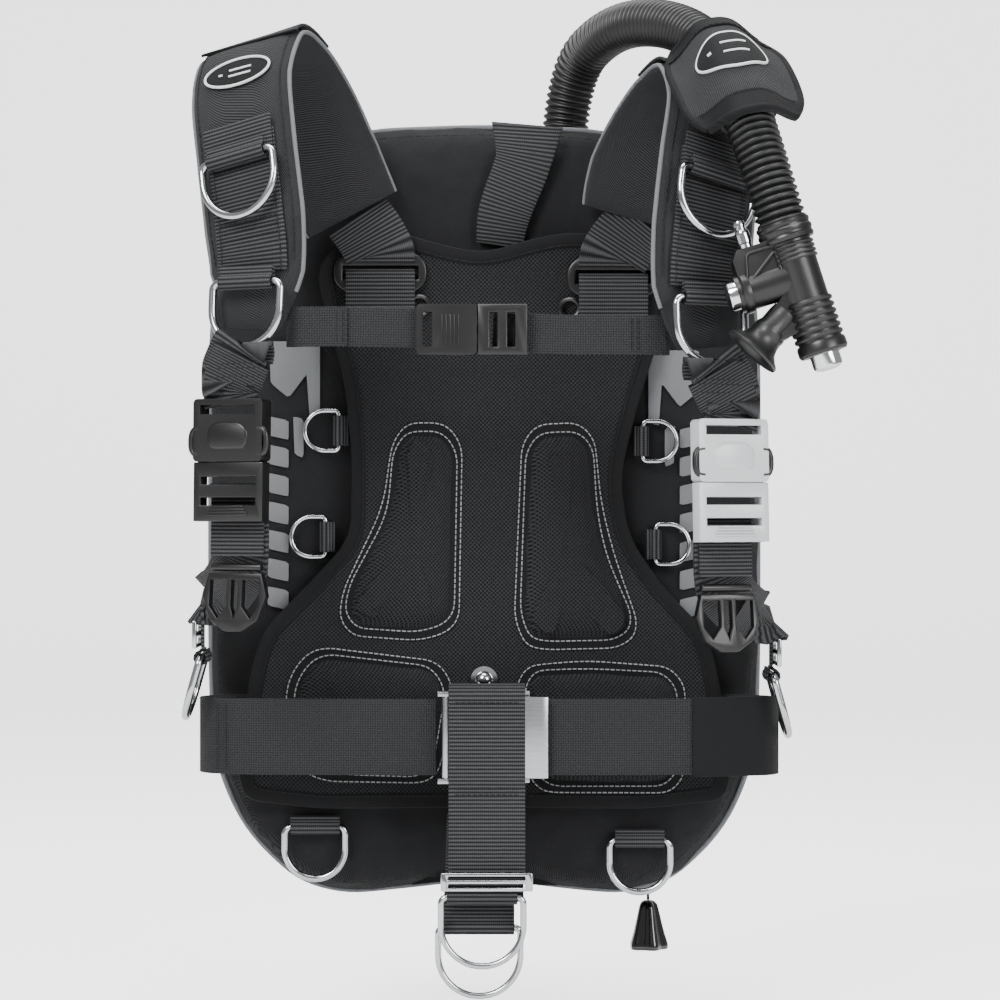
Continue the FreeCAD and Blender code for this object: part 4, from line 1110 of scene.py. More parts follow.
@dataclass
class BackPad:
    """The mesh covered pad with four stitched cushions, bound edges, the screw and two slot frames."""

    front_y: float = -112.6
    outline: tuple[tuple[float, float], ...] = (
        (0, -113), (110, -114), (160, -108), (164.5, -92), (157, -30), (149, 3), (118, 35), (96, 68),
        (90.5, 108), (103, 158), (117, 200), (113.5, 245), (101, 262), (62, 271), (32, 266), (0, 256),
        (-30, 262), (-58, 271), (-99, 262), (-112, 245), (-105, 213), (-93, 172), (-88, 120), (-89, 66),
        (-118, 35), (-149, 3), (-157, -30), (-164, -92), (-159, -108), (-110, -114),
    )
    cushions: tuple[tuple[tuple[float, float], ...], ...] = (
        ((-19, 11), (-17, 125), (-27, 139), (-52, 139), (-61, 125), (-65, 84), (-91, 34), (-94, 16), (-86, 5),
         (-41, 2)),
        ((30, -2), (43, -4), (87, -3), (98, 4), (99, 15), (83, 54), (76, 85), (73, 128), (63, 139), (36, 138),
         (27, 125), (23, 15)),
        ((-34, -94), (-24, -34), (-34, -18), (-112, -9), (-128, -30), (-128, -80), (-107, -92)),
        ((35, -100), (121, -100), (130, -90), (130, -33), (120, -22), (68, -19), (32, -21), (25, -34)),
    )
    tape_width: float = 0.010

    def slab_of_foam(self) -> bpy.types.Object:
        """The pad's body with soft edges."""
        points = outline_xz(self.outline, self.front_y + 2.2, 16, 6)
        pad = crowned("pad_body", points, ((1.2, 1.4), (2.4, 0.7), (6, 0.2)), 0.0076)
        return smooth(subdivided(pad), 60)

    def cushion(self, name: str, pairs: Sequence[tuple[float, float]]) -> bpy.types.Object:
        """One cushion, blown up a little inside its seam.

        Args:
            name: The piece's name.
            pairs: Its outline.

        Returns:
            The cushion.
        """
        points = outline_xz(pairs, self.front_y, 16, 4)
        piece = crowned(name, points, ((4.5, 0.3), (1.5, 1.6), (3, 1.8), (5, 1.3), (7, 0.7), (6, 0.2)), 0.001)
        return smooth(wrinkled(subdivided(piece), 0.035, 0.0018), 60)

    def build(self) -> None:
        """Builds and dresses the pad."""
        pad = dress(self.slab_of_foam(), SPACER_MESH, slot="spacer_mesh", nodes=["back_pad"])
        border = outline_xz(self.outline, self.front_y - 0.6, 16, 5)
        dress(ring_plate("pad_binding", border, self.tape_width, 0.0024), BINDING, slot="spacer_mesh")
        inside = outlined("seam_guide", border)
        with editing(inside):
            bpy.ops.mesh.inset(thickness=self.tape_width - 0.002, depth=0, use_even_offset=False)
        row = [inside.data.vertices[i].co + mm(0, -0.8, 0) for i in inside.data.polygons[0].vertices]
        bpy.data.objects.remove(inside)
        dress(stitches("pad_binding_stitches", row, 0.005, 0.0007, True), DARK_THREAD, slot="spacer_mesh")
        for name, pairs in zip(("left_upper", "right_upper", "left_lower", "right_lower"), self.cushions):
            piece = dress(self.cushion(f"{name}_cushion", pairs), SPACER_MESH, slot="spacer_mesh")
            self.seam(name, pairs)
        carry_over("book_screw", STAINLESS)
        mould("pad_slot_frames", "slot_frames", 0.0012, 3, ACETAL)
        for name, x, z in (("left", -43, 221), ("right", 57, 219)):
            turned = axes(mm(x, -115.2, z), RIGHT, FRONT)
            profile = [(7.5, 1.2), (6.4, 2), (5, 1.6), (4.4, 0), (5, -1.6), (6.4, -2), (7.5, -1.2),
                       (7.5, 1.2)]
            dress(lathe(f"{name}_strap_eye", turned, profile, 36), ACETAL, slot="black_acetal")

    def seam(self, name: str, pairs: Sequence[tuple[float, float]]) -> None:
        """A tape around one cushion with a double row of stitches.

        Args:
            name: The cushion's name.
            pairs: The cushion's outline.
        """
        middle = Vector((sum(x for x, z in pairs), 0, sum(z for x, z in pairs))) / len(pairs)

        def grown(by: float) -> list[tuple[float, float]]:
            """The outline moved out from its middle by so many millimetres."""
            result = []
            for x, z in pairs:
                away = Vector((x, 0, z)) - middle
                moved = Vector((x, 0, z)) + away.normalized() * by
                result.append((moved.x, moved.z))
            return result

        tape = ring_plate(f"{name}_tape", outline_xz(grown(5.5), self.front_y - 0.7, 18, 4), 0.0095, 0.0015)
        dress(tape, BINDING, slot="spacer_mesh")
        for i, by in enumerate((4.2, -1.6)):
            row = outline_xz(grown(by), self.front_y - 1.0, 16, 3)
            dress(stitches(f"{name}_stitches_{i}", row, 0.0036, 0.0009, True), THREAD, slot="spacer_mesh")


# ---------------------------------------------------------------- shoulder straps


@dataclass
class ShoulderStraps:
    """Both padded shoulder straps with their webbing, loops, piping and caps, and a badge on the left strap.
    """

    width: float = 0.072
    thickness: float = 0.0115
    webbing_width: float = 0.050
    webbing_lift: float = 0.0075

    def stations(self, side: str) -> list[Station]:
        """The strap's sections from behind the pad to its tip.

        Args:
            side: left or right.

        Returns:
            The sections.
        """
        rows = {
            "left": [
                (-88, -110, 282, 1, 0, 0.1, 0.9), (-104, -116, 312, 1, 0, 0.1, 1), (-121, -126, 350, 1, -0.1,
                                                                                    0.1, 1),
                (-136, -144, 376, 1, -0.2, 0.15, 1), (-149, -168, 384, 0.93, -0.3, 0.25, 1),
                (-155, -190, 358, 0.88, -0.42, 0.2, 1), (-151, -204, 316, 0.88, -0.45, 0.15, 1),
                (-145, -213, 268, 0.88, -0.45, 0.08, 1), (-143, -217, 236, 0.88, -0.42, 0.05, 0.92),
                (-147, -219, 200, 0.88, -0.4, 0.05, 0.55),
            ],
            "right": [
                (98, -110, 280, 1, 0, -0.1, 0.9), (106, -116, 306, 1, 0, -0.1, 1), (121, -126, 336, 1, 0.1,
                                                                                    -0.1, 1),
                (135, -144, 357, 1, 0.2, -0.15, 1), (146, -168, 363, 0.93, 0.3, -0.25, 1),
                (150, -190, 342, 0.88, 0.42, -0.2, 1), (144, -204, 304, 0.88, 0.45, -0.15, 1),
                (139, -213, 260, 0.88, 0.45, -0.08, 1), (137, -217, 226, 0.88, 0.42, -0.05, 0.92),
                (141, -219, 188, 0.88, 0.4, -0.05, 0.55),
            ],
        }
        return [Station(mm(*row[:3]), Vector(row[3:6]), row[6]) for row in rows[side]]

    def pad(self, side: str, stations: Sequence[Station]) -> bpy.types.Object:
        """A closed padded strap whose section is a rounded box, thinner at its edges.

        Args:
            side: left or right.
            stations: Its close sections.

        Returns:
            The pad.
        """
        frames = station_frames(stations)
        last = len(frames) - 1

        def place(u: float, v: float) -> Vector:
            """The point around the section at u and along the strap at v."""
            index = round(v * last)
            angle = u * math.tau
            across, out = math.cos(angle), math.sin(angle)
            half = self.width * stations[index].share / 2
            taper = min(1.0, 0.25 + 0.75 * min(last - index, index + 4) / 6)
            x = half * math.copysign(abs(across) ** 0.55, across)
            y = self.thickness / 2 * taper * math.copysign(abs(out) ** 0.75, out)
            return frames[index] @ Vector((x, y, 0))

        length = sum((b.place - a.place).length for a, b in zip(stations, stations[1:]))
        piece = shaped_grid(f"{side}_strap_pad", 56, last, place, (self.width * 2.1, length))
        return smooth(wrinkled(sealed(merged(piece)), 0.022, 0.0012), 60)

    def build(self) -> None:
        """Builds and dresses both straps."""
        for side in ("left", "right"):
            self.build_side(side)
        carry_over("junction_rings", STAINLESS)

    def build_side(self, side: str) -> None:
        """Builds and dresses one strap.

        Args:
            side: left or right.
        """
        given = self.stations(side)
        close = flowing(given, 7)
        pad = dress(self.pad(side, close), CORDURA, slot="strap_nylon", nodes=[f"{side}_shoulder_pad"])
        frames = station_frames(close)
        edges = []
        for sign in (-1, 1):
            path = [turned @ Vector((sign * self.width * station.share / 2, 0.0012, 0))
                    for turned, station in zip(frames[:-5], close)]
            edges.append(line_mesh("edge", path, 0.0015))
        dress(joined(f"{side}_strap_piping", edges), PIPING, slot="strap_nylon")
        rows = []
        for sign in (-1, 1):
            path = [turned @ Vector((sign * (self.width * station.share / 2 - 0.005), self.thickness * 0.43,
                                     0))
                    for turned, station in zip(frames, close)]
            rows.append(stitches("row", path[12:-8], 0.0048, 0.0008))
        sew(f"{side}_strap_stitches", rows, "strap_nylon")
        cap = [Station(s.place, s.across, 1.0) for s in close[20:30]]
        piece = strap(f"{side}_cap_band", station_frames(cap, self.thickness / 2 + 0.0006), 0.073, 0.0018)
        dress(piece, WEBBING, slot="webbing")
        self.build_webbing(side, given, close)
        self.build_badge(side, close)

    def build_webbing(self, side: str, given: Sequence[Station], close: Sequence[Station]) -> None:
        """Builds the webbing down the front of a strap, its loops and its tongue on the pad.

        Args:
            side: left or right.
            given: The strap's own sections.
            close: The close sections.
        """
        front = [Station(s.place, s.across) for s in close[41:57]]
        frames = station_frames(front, self.webbing_lift)
        pieces = [strap("front", frames, self.webbing_width, 0.0022)]
        ring_place = self.on_strap(given, 6, 0.0140, 0.009)
        pieces.append(folded_loop(ring_place, 0.042, 0.005, 0.004))
        keeper = [self.on_strap(given, 6, 0.0105, down) for down in (0.007, 0.001, -0.009, -0.015)]
        pieces.append(strap("keeper", keeper, 0.050, 0.0022))
        junction = self.on_strap(given, 8, 0.0140, 0.008)
        pieces.append(folded_loop(junction, 0.038, 0.005, 0.006))
        x, z = (-69, 243) if side == "left" else (86, 240)
        tongue = [mm(x, -117.6, z - 29), mm(x, -119.6, z - 18), mm(x, -119.8, z - 7), mm(x, -117.2, z + 2)]
        pieces.append(flat_strap("tongue", tongue, RIGHT, 0.046, 0.0022, 0.004))
        rise = [mm(x, -117.2, z + 7), mm(x, -119, z + 13), mm(x * 1.1, -117, z + 26),
                mm(x * 1.22, -113.5, z + 37)]
        pieces.append(flat_strap("rise", rise, RIGHT, 0.046, 0.0022, 0.006))
        webbing = joined(f"{side}_front_webbing", pieces)
        nodes = ["shoulder_webbings"] if side == "left" else []
        dress(webbing, WEBBING, slot="webbing", nodes=nodes)
        rows = []
        for index in (0, 1, 3, 8, 9, 10):
            turned = frames[index]
            path = [turned @ Vector((x, 0.0014, 0)) for x in (-0.022, 0.022)]
            rows.append(stitches("bar_tack", path, 0.0036, 0.0009))
        for x in (-0.0215, 0.0215):
            path = [turned @ Vector((x, 0.0014, 0)) for turned in frames]
            rows.append(stitches("edge_row", path, 0.0042, 0.0008))
        sew(f"{side}_webbing_stitches", rows, "webbing")

    def on_strap(self, given: Sequence[Station], index: int, lift: float, down: float = 0.0) -> Matrix:
        """A frame on a strap, moved out by lift and down along it."""
        turned = station_frames(given)[index]
        return self.facing_out(turned, turned @ Vector((0, lift, down)))

    @staticmethod
    def facing_out(turned: Matrix, place: Vector) -> Matrix:
        """A section's frame turned so that local -Y faces out and local Z points up the strap."""
        return axes(place, turned.to_3x3().col[0], -turned.to_3x3().col[2])

    def build_badge(self, side: str, close: Sequence[Station]) -> None:
        """Builds the plain oval badge near the left strap's crest; the right strap gets none.

        Args:
            side: left or right.
            close: The close sections.
        """
        if side == "right":
            return
        turned = station_frames(close, self.thickness / 2 + 0.0010)[34]
        self.badge(self.facing_out(turned, turned.translation), 0.024, 0.0105, "strap_badge")

    @staticmethod
    def badge(turned: Matrix, half_width: float, half_height: float, name: str) -> None:
        """A plain oval badge with a pale rim.

        Args:
            turned: Its frame, with local Y away from the viewer.
            half_width: Half its width along local X.
            half_height: Half its height along local Z.
            name: The name that its two pieces start with.
        """
        def ellipse(scale: float, lift: float) -> list[Vector]:
            """Points of the oval, scaled and lifted off the cloth."""
            return [turned @ Vector((math.cos(i / 48 * math.tau) * half_width * scale, -lift,
                                     math.sin(i / 48 * math.tau) * half_height * scale)) for i in range(48)]

        dress(slab(f"{name}_field", ellipse(0.97, 0.0012), 0.0026, 0.0003), BINDING, slot="strap_nylon")
        bars = [line_mesh("rim", ellipse(1.0, 0.0012), 0.0009, True)]
        for x, z, reach in ((-0.5, 0.0, 0.06), (0.1, 0.22, 0.34), (0.1, -0.22, 0.34)):
            ends = [turned @ Vector(((x + sign * reach) * half_width, -0.0014,
                                     z * half_height)) for sign in (-1, 1)]
            bars.append(line_mesh("bar", ends, 0.0007))
        dress(joined(f"{name}_rim", bars), BADGE_WHITE, slot="strap_nylon")


# ---------------------------------------------------------------- straps across the front


@dataclass
class SternumStrap:
    """The narrow strap across the chest with its side release buckle."""

    width: float = 0.025
    place_y: float = -234.0

    def build(self) -> None:
        """Builds and dresses the strap and both buckle halves."""
        left = [mm(-118, -224, 201), mm(-111, -230, 201), mm(-98, -233, 201), mm(-45, -234, 200),
                mm(-38, -234, 200)]
        fold = [mm(-118, -224, 201), mm(-122, -222.5, 201), mm(-124, -226, 201), mm(-116, -232.5, 201),
                mm(-98, -235.6, 201), mm(-86, -236, 201)]
        right = [mm(6, -226.3, 198), mm(58, -226.3, 196), mm(98, -227, 196), mm(112, -221, 196)]
        lip = [mm(9, -231, 197), mm(16, -228.9, 197), mm(58, -229, 196), mm(98, -229.6, 196),
               mm(116, -224, 196),
               mm(118, -220, 196), mm(114, -217.5, 196)]
        up = Vector((0.02, 0, 1))
        pieces = [flat_strap("part", path, up, self.width, 0.002, 0.005) for path in (left, fold, right, lip)]
        dress(joined("sternum_straps_cloth", pieces), BELT, slot="webbing", nodes=["sternum_straps"])
        rows = []
        for x, y, z in ((-92, -236.8, 201), (-88, -236.9, 201), (98, -230.9, 196), (94, -230.8, 196)):
            path = [mm(x, y, z - 10.5), mm(x, y, z + 10.5)]
            rows.append(stitches("row", path, 0.0034, 0.0008))
        sew("sternum_stitches", rows, "webbing")
        mould("sternum_buckle_socket", "sternum_socket", 0.0014, 3, ACETAL)
        mould("sternum_buckle_clip", "sternum_clip", 0.0009, 2, ACETAL, "sternum_clip")
        ribs = []
        turned = axes(mm(-4, self.place_y, 199), UP, Vector((-1, 0, 0.035)))
        for i in range(5):
            rib = axes(turned @ mm(0, -5.7, 22 - i * 2.6), turned.to_3x3().col[0], turned.to_3x3().col[2])
            ribs.append(bar("rib", rib, mm(19, 1.1, 1.1), 0.0004))
        dress(joined("sternum_socket_ribs", ribs), ACETAL, slot="black_acetal")


@dataclass
class SideStraps:
    """The side straps, left and right: buckles, webbing, pullers, sliders and waist rings."""

    width: float = 0.038
    socket_depth: float = 28.0

    def build(self) -> None:
        """Builds and dresses both sides."""
        places = {
            "left": (mm(-160, -216, 116), Vector((0.9, -0.42, 0)), Vector((0.16, -0.05, 1)),
                     mm(-186, -128, -12), -1),
            "right": (mm(157, -216, 103), Vector((0.9, 0.42, 0)), Vector((-0.2, -0.05, 1)),
                      mm(190, -128, -24), 1),
        }
        straps = ShoulderStraps()
        for side, (middle, across, up, ring, sign) in places.items():
            turned = axes(middle, across, up)
            top = straps.on_strap(straps.stations(side), 8, 0.0140, 0.008 + 0.046)
            self.build_webbing(side, turned, top, ring, sign)
            self.build_hardware(side, turned)
        mould("waist_sliders", "waist_tri_glides", 0.0007, 2, STAINLESS, slot="stainless")

    def build_webbing(self, side: str, turned: Matrix, top: Matrix, ring: Vector, sign: int) -> None:
        """Builds one side's webbing.

        Args:
            side: left or right.
            turned: The buckle's frame.
            top: The frame at the bottom of the junction ring.
            ring: The waist ring's place.
            sign: -1 on the left and 1 on the right.
        """
        across = turned.to_3x3().col[0]
        top_across = top.to_3x3().col[0]
        upper = [
            Station(top @ mm(0, -2.2, -1), top_across), Station(turned @ mm(0, -1.6, self.socket_depth + 20),
                                                                across),
            Station(turned @ mm(0, -1.0, self.socket_depth + 9), across),
        ]
        fold = [
            Station(top @ mm(0, 2.8, -6), top_across), Station(top @ mm(0, 4.4, -1), top_across),
            Station(top @ mm(0, 3.6, 4), top_across), Station(top @ mm(0, 0, 6.2), top_across),
            Station(top @ mm(0, -3.8, 4), top_across), Station(turned @ mm(0, -4.4, self.socket_depth + 27),
                                                               across),
            Station(turned @ mm(0, -4.2, self.socket_depth + 21), across),
        ]
        tail = [Station(turned @ mm(0, 5.4, -14), across), Station(turned @ mm(0, 8.5, -22), across),
                Station(turned @ mm(0, 8.5, -60), across)]
        ring_across = Vector((0.1, sign, 0))
        lower = [
            Station(turned @ mm(0, 12.5, -20), across), Station(turned @ mm(0, 13.5, -62), across),
            Station((turned @ mm(0, 17.5, -85) + ring + mm(0, 0, 44)) / 2, across + ring_across * 0.8),
            Station(ring + mm(0, 0, 36), ring_across), Station(ring + mm(0, 0, 22), ring_across),
            Station(ring + mm(0, 0, 6), ring_across),
        ]
        pieces = [strap("part", station_frames(flowing(row, 6)), self.width, 0.0022)
                  for row in (upper, fold, tail, lower)]
        loop_place = axes(ring, BACK, Vector((-sign * 0.28, 0, 1)))
        pieces.append(folded_loop(loop_place, 0.034, 0.005, 0.0016))
        nodes = ["side_webbings"] if side == "left" else []
        dress(joined(f"{side}_side_webbing", pieces), WEBBING, slot="webbing", nodes=nodes)
        rows = []
        for height in (-6.5, -9.5, -15):
            path = [top @ mm(x, -6.4, height) for x in (-16, 16)]
            rows.append(stitches("row", path, 0.0034, 0.0008))
        sew(f"{side}_side_stitches", rows, "webbing")

    def build_hardware(self, side: str, turned: Matrix) -> None:
        """Builds one side's buckle, puller and ring.

        Args:
            side: left or right.
            turned: The buckle's frame.
        """
        finish, slot = (SILVER_ACETAL, "silver_buckle") if side == "right" else (ACETAL, "black_acetal")
        mould(f"{side}_buckle_socket", f"{side}_socket", 0.0024, 4, finish, slot=slot)
        mould(f"{side}_buckle_clip", f"{side}_clip", 0.0014, 3, finish, f"{side}_clip", slot)
        across, up = turned.to_3x3().col[0], turned.to_3x3().col[2]
        guard = []
        for end in (-1, 1):
            path = [turned @ mm(end * x, -4.2, z) for x, z in
                    ((21, 21), (25.5, 20.5), (27.2, 16), (27.2, 9), (25.5, 5), (21, 4.6))]
            guard.append(line_mesh("guard", rounded(path, 0.004), 0.0021))
        dress(joined(f"{side}_buckle_guards", guard), ACETAL, slot="black_acetal")
        panel = [turned @ mm(x, -6.0, z) for x,
                 z in ((-13, 8), (13, 8), (15, 20), (9, 25), (-9, 25), (-15, 20))]
        raised = crowned(f"{side}_socket_panel", spaced(rounded(panel, 0.004, 5, True), 0.003, True),
                         ((0.5, 0.6), (0.8, 0.3)), 0.0006)
        dress(raised, finish, slot=slot)
        ribs = [bar("rib", axes(turned @ mm(0, -5.2, -34 + i * 1.9), across, up), mm(30 - i * 2, 1.2, 0.9),
                    0.0004)
                for i in range(4)]
        dress(joined(f"{side}_clip_ribs", ribs), finish, f"{side}_clip", slot)
        mould(f"{side}_ring_puller", f"{side}_puller", 0.0018, 3, ACETAL, f"{side}_ring_puller")
        carry_over(f"{side}_waist_ring", STAINLESS)
        carry_over(f"{side}_chest_ring", STAINLESS)


@dataclass
class WaistBelt:
    """Both halves of the waist belt and the stainless quick release buckle."""

    height: float = -63.5
    width: float = 0.050
    front_y: float = -152.0

    def build(self) -> None:
        """Builds and dresses the belt and its buckle."""
        back = -101.2
        paths = {
            "left": [(-16, back), (-168, back), (-183, -108), (-189, -121), (-181, -136), (-152, -146),
                     (-90, -150), (-31, self.front_y)],
            "right": [(16, back), (168, back), (186, -108), (193, -121), (186, -137), (152, -147),
                      (90, -150.5), (36, self.front_y)],
        }
        for side, path in paths.items():
            points = [mm(x, y, self.height) for x, y in path]
            belt = flat_strap(f"{side}_belt", points, UP, self.width, 0.0024, 0.014)
            dress(belt, BELT, slot="webbing", nodes=[f"{side}_waist_belt"])
        over = [mm(x, y, self.height) for x,
                y in ((137, -150.4), (153, -149.8), (188, -139.4), (194.5, -126))]
        dress(flat_strap("belt_keeper", over, UP, self.width + 0.002, 0.0016, 0.012), BINDING,
              slot="webbing")
        rows = []
        for x in (-176, -170):
            path = [mm(x, -141.5 if x < -173 else -142.8, self.height + z) for z in (-22, 22)]
            rows.append(stitches("row", path, 0.004, 0.0008))
        sew("belt_stitches", rows, "webbing")
        mould("waist_buckle_frame", "belt_buckle_base", 0.0009, 3, BRUSHED, slot="brushed_stainless")
        mould("waist_buckle_flap", "belt_buckle_flap", 0.0008, 3, BRUSHED, "waist_flap", "brushed_stainless")


@dataclass
class CrotchStrap:
    """The crotch strap's loop round the belt, its rear run, slider and two rings."""

    front: float = -165.8
    back: float = -143.0
    middle_x: float = 2.0
    end: float = -156.0
    width: float = 0.050

    def build(self) -> None:
        """Builds and dresses the strap and its hardware."""
        top = WaistBelt.height + 25 + 9
        across = RIGHT
        loop = [(self.front, self.end), (self.front, top - 5), (self.front + 5, top), (self.back - 4, top),
                (self.back, top - 5), (self.back, -112), (self.front + 6, -143), (self.front + 3.2, self.end)]
        rear = [(-107.5, -118), (-117, -130), (-148, -142), (self.front + 6.6, self.end)]
        tab = [(self.front + 4.8, self.end + 1), (self.front + 4.6, self.end - 10), (self.front + 3.6, -170)]
        pieces = []
        for path, shift in ((loop, 0.0), (rear, -2.0), (tab, -1.0)):
            points = [mm(self.middle_x + shift, y, z) for y, z in path]
            pieces.append(flat_strap("part", points, across, self.width, 0.0024, 0.008))
        front_ring = axes(mm(self.middle_x - 3, self.front + 1.5, -167), across, UP)
        rear_ring = axes(mm(self.middle_x - 5, self.front + 13, -188), across, UP)
        pieces.append(folded_loop(front_ring, 0.046, 0.0042, 0.006))
        pieces.append(folded_loop(rear_ring, 0.046, 0.0042, 0.020))
        dress(joined("crotch_webbing", pieces), WEBBING, slot="webbing", nodes=["crotch_strap"])
        rows = []
        for z in (-40, -96, -100, -148):
            path = [mm(self.middle_x + x, self.front - 1.4, z) for x in (-21, 21)]
            rows.append(stitches("row", path, 0.0038, 0.0009))
        sew("crotch_stitches", rows, "webbing")
        mould("crotch_slider", "crotch_tri_glide", 0.0009, 3, STAINLESS, "crotch_slider", "stainless")
        for node in ("crotch_front_ring", "crotch_rear_ring"):
            carry_over(node, STAINLESS)


@dataclass
class LooseRings:
    """The D-rings on the air cell and along the pad, with their webbing loops."""

    lower_y: float = -104.4
    side_y: float = -104.2

    def build(self) -> None:
        """Builds and dresses the loops, and dresses the rings."""
        lower = {"left_lower_ring": (-113, -127), "right_lower_ring": (104, -136),
                 "centre_lower_ring": (-2, -126)}
        pieces = []
        for node, (x, z) in lower.items():
            place = axes(mm(x, self.lower_y, z), RIGHT, UP)
            pieces.append(folded_loop(place, 0.033, 0.0046, 0.0035))
            carry_over(node, STAINLESS)
        dress(joined("lower_loops", pieces), WEBBING, slot="webbing", nodes=["lower_ring_loops"])
        side = {
            "left_upper_side_ring": (-97, 138, -1), "left_lower_side_ring": (-106, 67, -1),
            "right_upper_side_ring": (106, 131, 1), "right_lower_side_ring": (114.5, 62, 1),
        }
        pieces = []
        for node, (x, z, sign) in side.items():
            place = axes(mm(x, self.side_y, z), UP, Vector((-sign, 0, 0)))
            pieces.append(folded_loop(place, 0.020, 0.0032, 0.003))
            carry_over(node, STAINLESS)
        dress(joined("side_loops", pieces), WEBBING, slot="webbing", nodes=["side_ring_loops"])


# ---------------------------------------------------------------- hose and inflator


@dataclass
class Hose:
    """The corrugated hose, its elbow on the cell and the sleeve that holds it on the strap."""

    diameter: float = 0.032
    rib_pitch: float = 0.0046
    rib_depth: float = 0.0026
    bump_reach: float = 0.023
    route: tuple[tuple[float, float, float], ...] = (
        (54, -38, 322), (56, -40, 384), (86, -78, 413), (124, -132, 408), (152, -188, 380), (162, -230, 350),
        (176, -250, 301), (187, -252, 264),
    )

    def centre_line(self) -> list[Vector]:
        """The hose's middle, read from the smooth spline of its route."""
        curve = round_curve("hose_route", 0.0)
        curve.resolution_u = 24
        spline = add_spline(curve, [mm(*place) for place in self.route], "NURBS")
        spline.order_u = 3
        spline.use_endpoint_u = True
        item = linked("hose_route", curve)
        bpy.context.view_layer.update()
        mesh = bpy.data.meshes.new_from_object(item)
        line = [vertex.co.copy() for vertex in mesh.vertices]
        bpy.data.objects.remove(item)
        return line

    def rib(self, distance: float) -> float:
        """The hose's outer radius at a distance along it."""
        wave = 0.5 + 0.5 * math.cos(math.tau * distance / self.rib_pitch)
        return self.diameter / 2 - self.rib_depth * (1 - wave ** 0.6)

    def build(self) -> None:
        """Builds and dresses the hose, elbow and sleeve."""
        line = self.centre_line()
        path = spaced(line, self.rib_pitch / 7)
        hose = swept("corrugated_hose", path, self.rib, 36)
        dress(hose, HOSE_RUBBER, body="", slot="hose_rubber", nodes=["upper_hose", "lower_hose"])
        along = (mm(*self.route[6]) - mm(*self.route[5])).normalized()
        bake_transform(hose)
        mm(*self.route[0])
        spaced(line, 0.004)
        self.build_elbow()
        self.build_sleeve(line)

    def build_elbow(self) -> None:
        """Builds the elbow on the back of the cell."""
        foot = axes(mm(54, -57.2, 290), RIGHT, BACK)
        base = [(0, 7.2), (15, 7.2), (21, 6), (24, 5), (26.6, 4.6), (27.6, 3.6), (27.8, 1), (27, 0.3),
                (0, 0.3)]
        nozzle = axes(mm(54, -38, 288), RIGHT, Vector((0.03, -0.03, 1)))
        profile = [(0, 0), (13, 0.4), (15.4, 2), (16, 6), (16, 20), (17.4, 21), (17.6, 24), (16.6, 25),
                   (16.6, 27),
                   (17.6, 28), (17.4, 32), (16, 33), (13, 32.8), (0, 32.4)]
        pieces = [lathe("base", foot, base, 56), lathe("nozzle", nozzle, profile, 48)]
        pieces += ring_of_bars(foot, 12, mm(25.2, 0, 4.6), mm(3.4, 2.2, 2.4), 0.0006)
        dress(joined("hose_elbow_moulding", pieces), ACETAL, slot="black_acetal", nodes=["hose_elbow"])

    def build_sleeve(self, line: Sequence[Vector]) -> None:
        """Builds the saddle shaped sleeve over the hose with its binding, stitches and badge.

        Args:
            line: The hose's middle.
        """
        inside = [p for p in line if -0.240 < p.y < -0.182]
        path = spaced(inside, 0.0025)
        frames = []
        for i, point in enumerate(path):
            back, ahead = path[max(i - 1, 0)], path[min(i + 1, len(path) - 1)]
            frames.append(axes(point, Vector((1, 0.05, 0.16)), back - ahead))
        last = len(frames) - 1

        def surface(u: float, v: float, lift: float = 0.0) -> Vector:
            """The sleeve's point at u across and v down along the hose."""
            half = 0.037 * (1 - 0.26 * abs(2 * v - 1) ** 4)
            across = (2 * u - 1) * half
            bulge = math.exp(-(abs(across) / self.bump_reach) ** 3)
            flare = 0.004 * max(0.0, v - 0.72) / 0.28
            height = -0.003 + 0.0235 * bulge + lift + flare
            low = min(int(v * last), last - 1)
            turned = frames[low].lerp(frames[low + 1], v * last - low)
            return turned @ Vector((across, -height, 0))

        shell = shaped_grid("hose_sleeve_cloth", 48, last, surface, (0.082, 0.07))
        beveled(merged(thickened(shell, 0.003)), 0.001, 2, 50)
        inner = swept("sleeve_wrap", spaced(inside[4:-4], 0.003), lambda distance: 0.0192, 40, 0.0024)
        dress(joined("hose_sleeve_cloth", [smooth(shell, 60), inner]), CORDURA, slot="strap_nylon",
              nodes=["hose_sleeve"])
        ends = [[surface(i / 48, v) for i in range(49)] for v in (0.0, 1.0)]
        sides = [[surface(u, i / last) for i in range(last + 1)] for u in (0.0, 1.0)]
        lines = [line_mesh("edge", row, 0.0032) for row in ends] + [line_mesh("edge", row,
                                                                              0.0026) for row in sides]
        tapes = []
        for low, high in ((0.0, 0.12), (0.86, 1.0)):
            steps = [low + (high - low) * i / 4 for i in range(5)]
            tape = shaped_grid("tape", 48, 4, lambda u, v: surface(u, steps[round(v * 4)], 0.0022),
                               (0.082, 0.01))
            tapes.append(smooth(thickened(tape, 0.0014), 60))
        dress(joined("sleeve_binding", lines + tapes), BINDING, slot="strap_nylon")
        rows = [stitches("row", [surface(i / 60, v, 0.0032) for i in range(3, 58)], 0.004, 0.0008)
                for v in (0.11, 0.87)]
        sew("sleeve_stitches", rows, "strap_nylon")
        self.build_badge(surface)

    def build_badge(self, surface: Callable[..., Vector]) -> None:
        """Builds the sleeve's oval badge, bent over the hose.

        Args:
            surface: The sleeve's point for u across, v along and a lift off the cloth.
        """
        def oval(scale: float, lift: float) -> list[Vector]:
            """Points of the oval on the cloth."""
            return [surface(0.5 + 0.30 * scale * math.cos(i / 60 * math.tau),
                            0.46 - 0.19 * scale * math.sin(i / 60 * math.tau), lift) for i in range(60)]

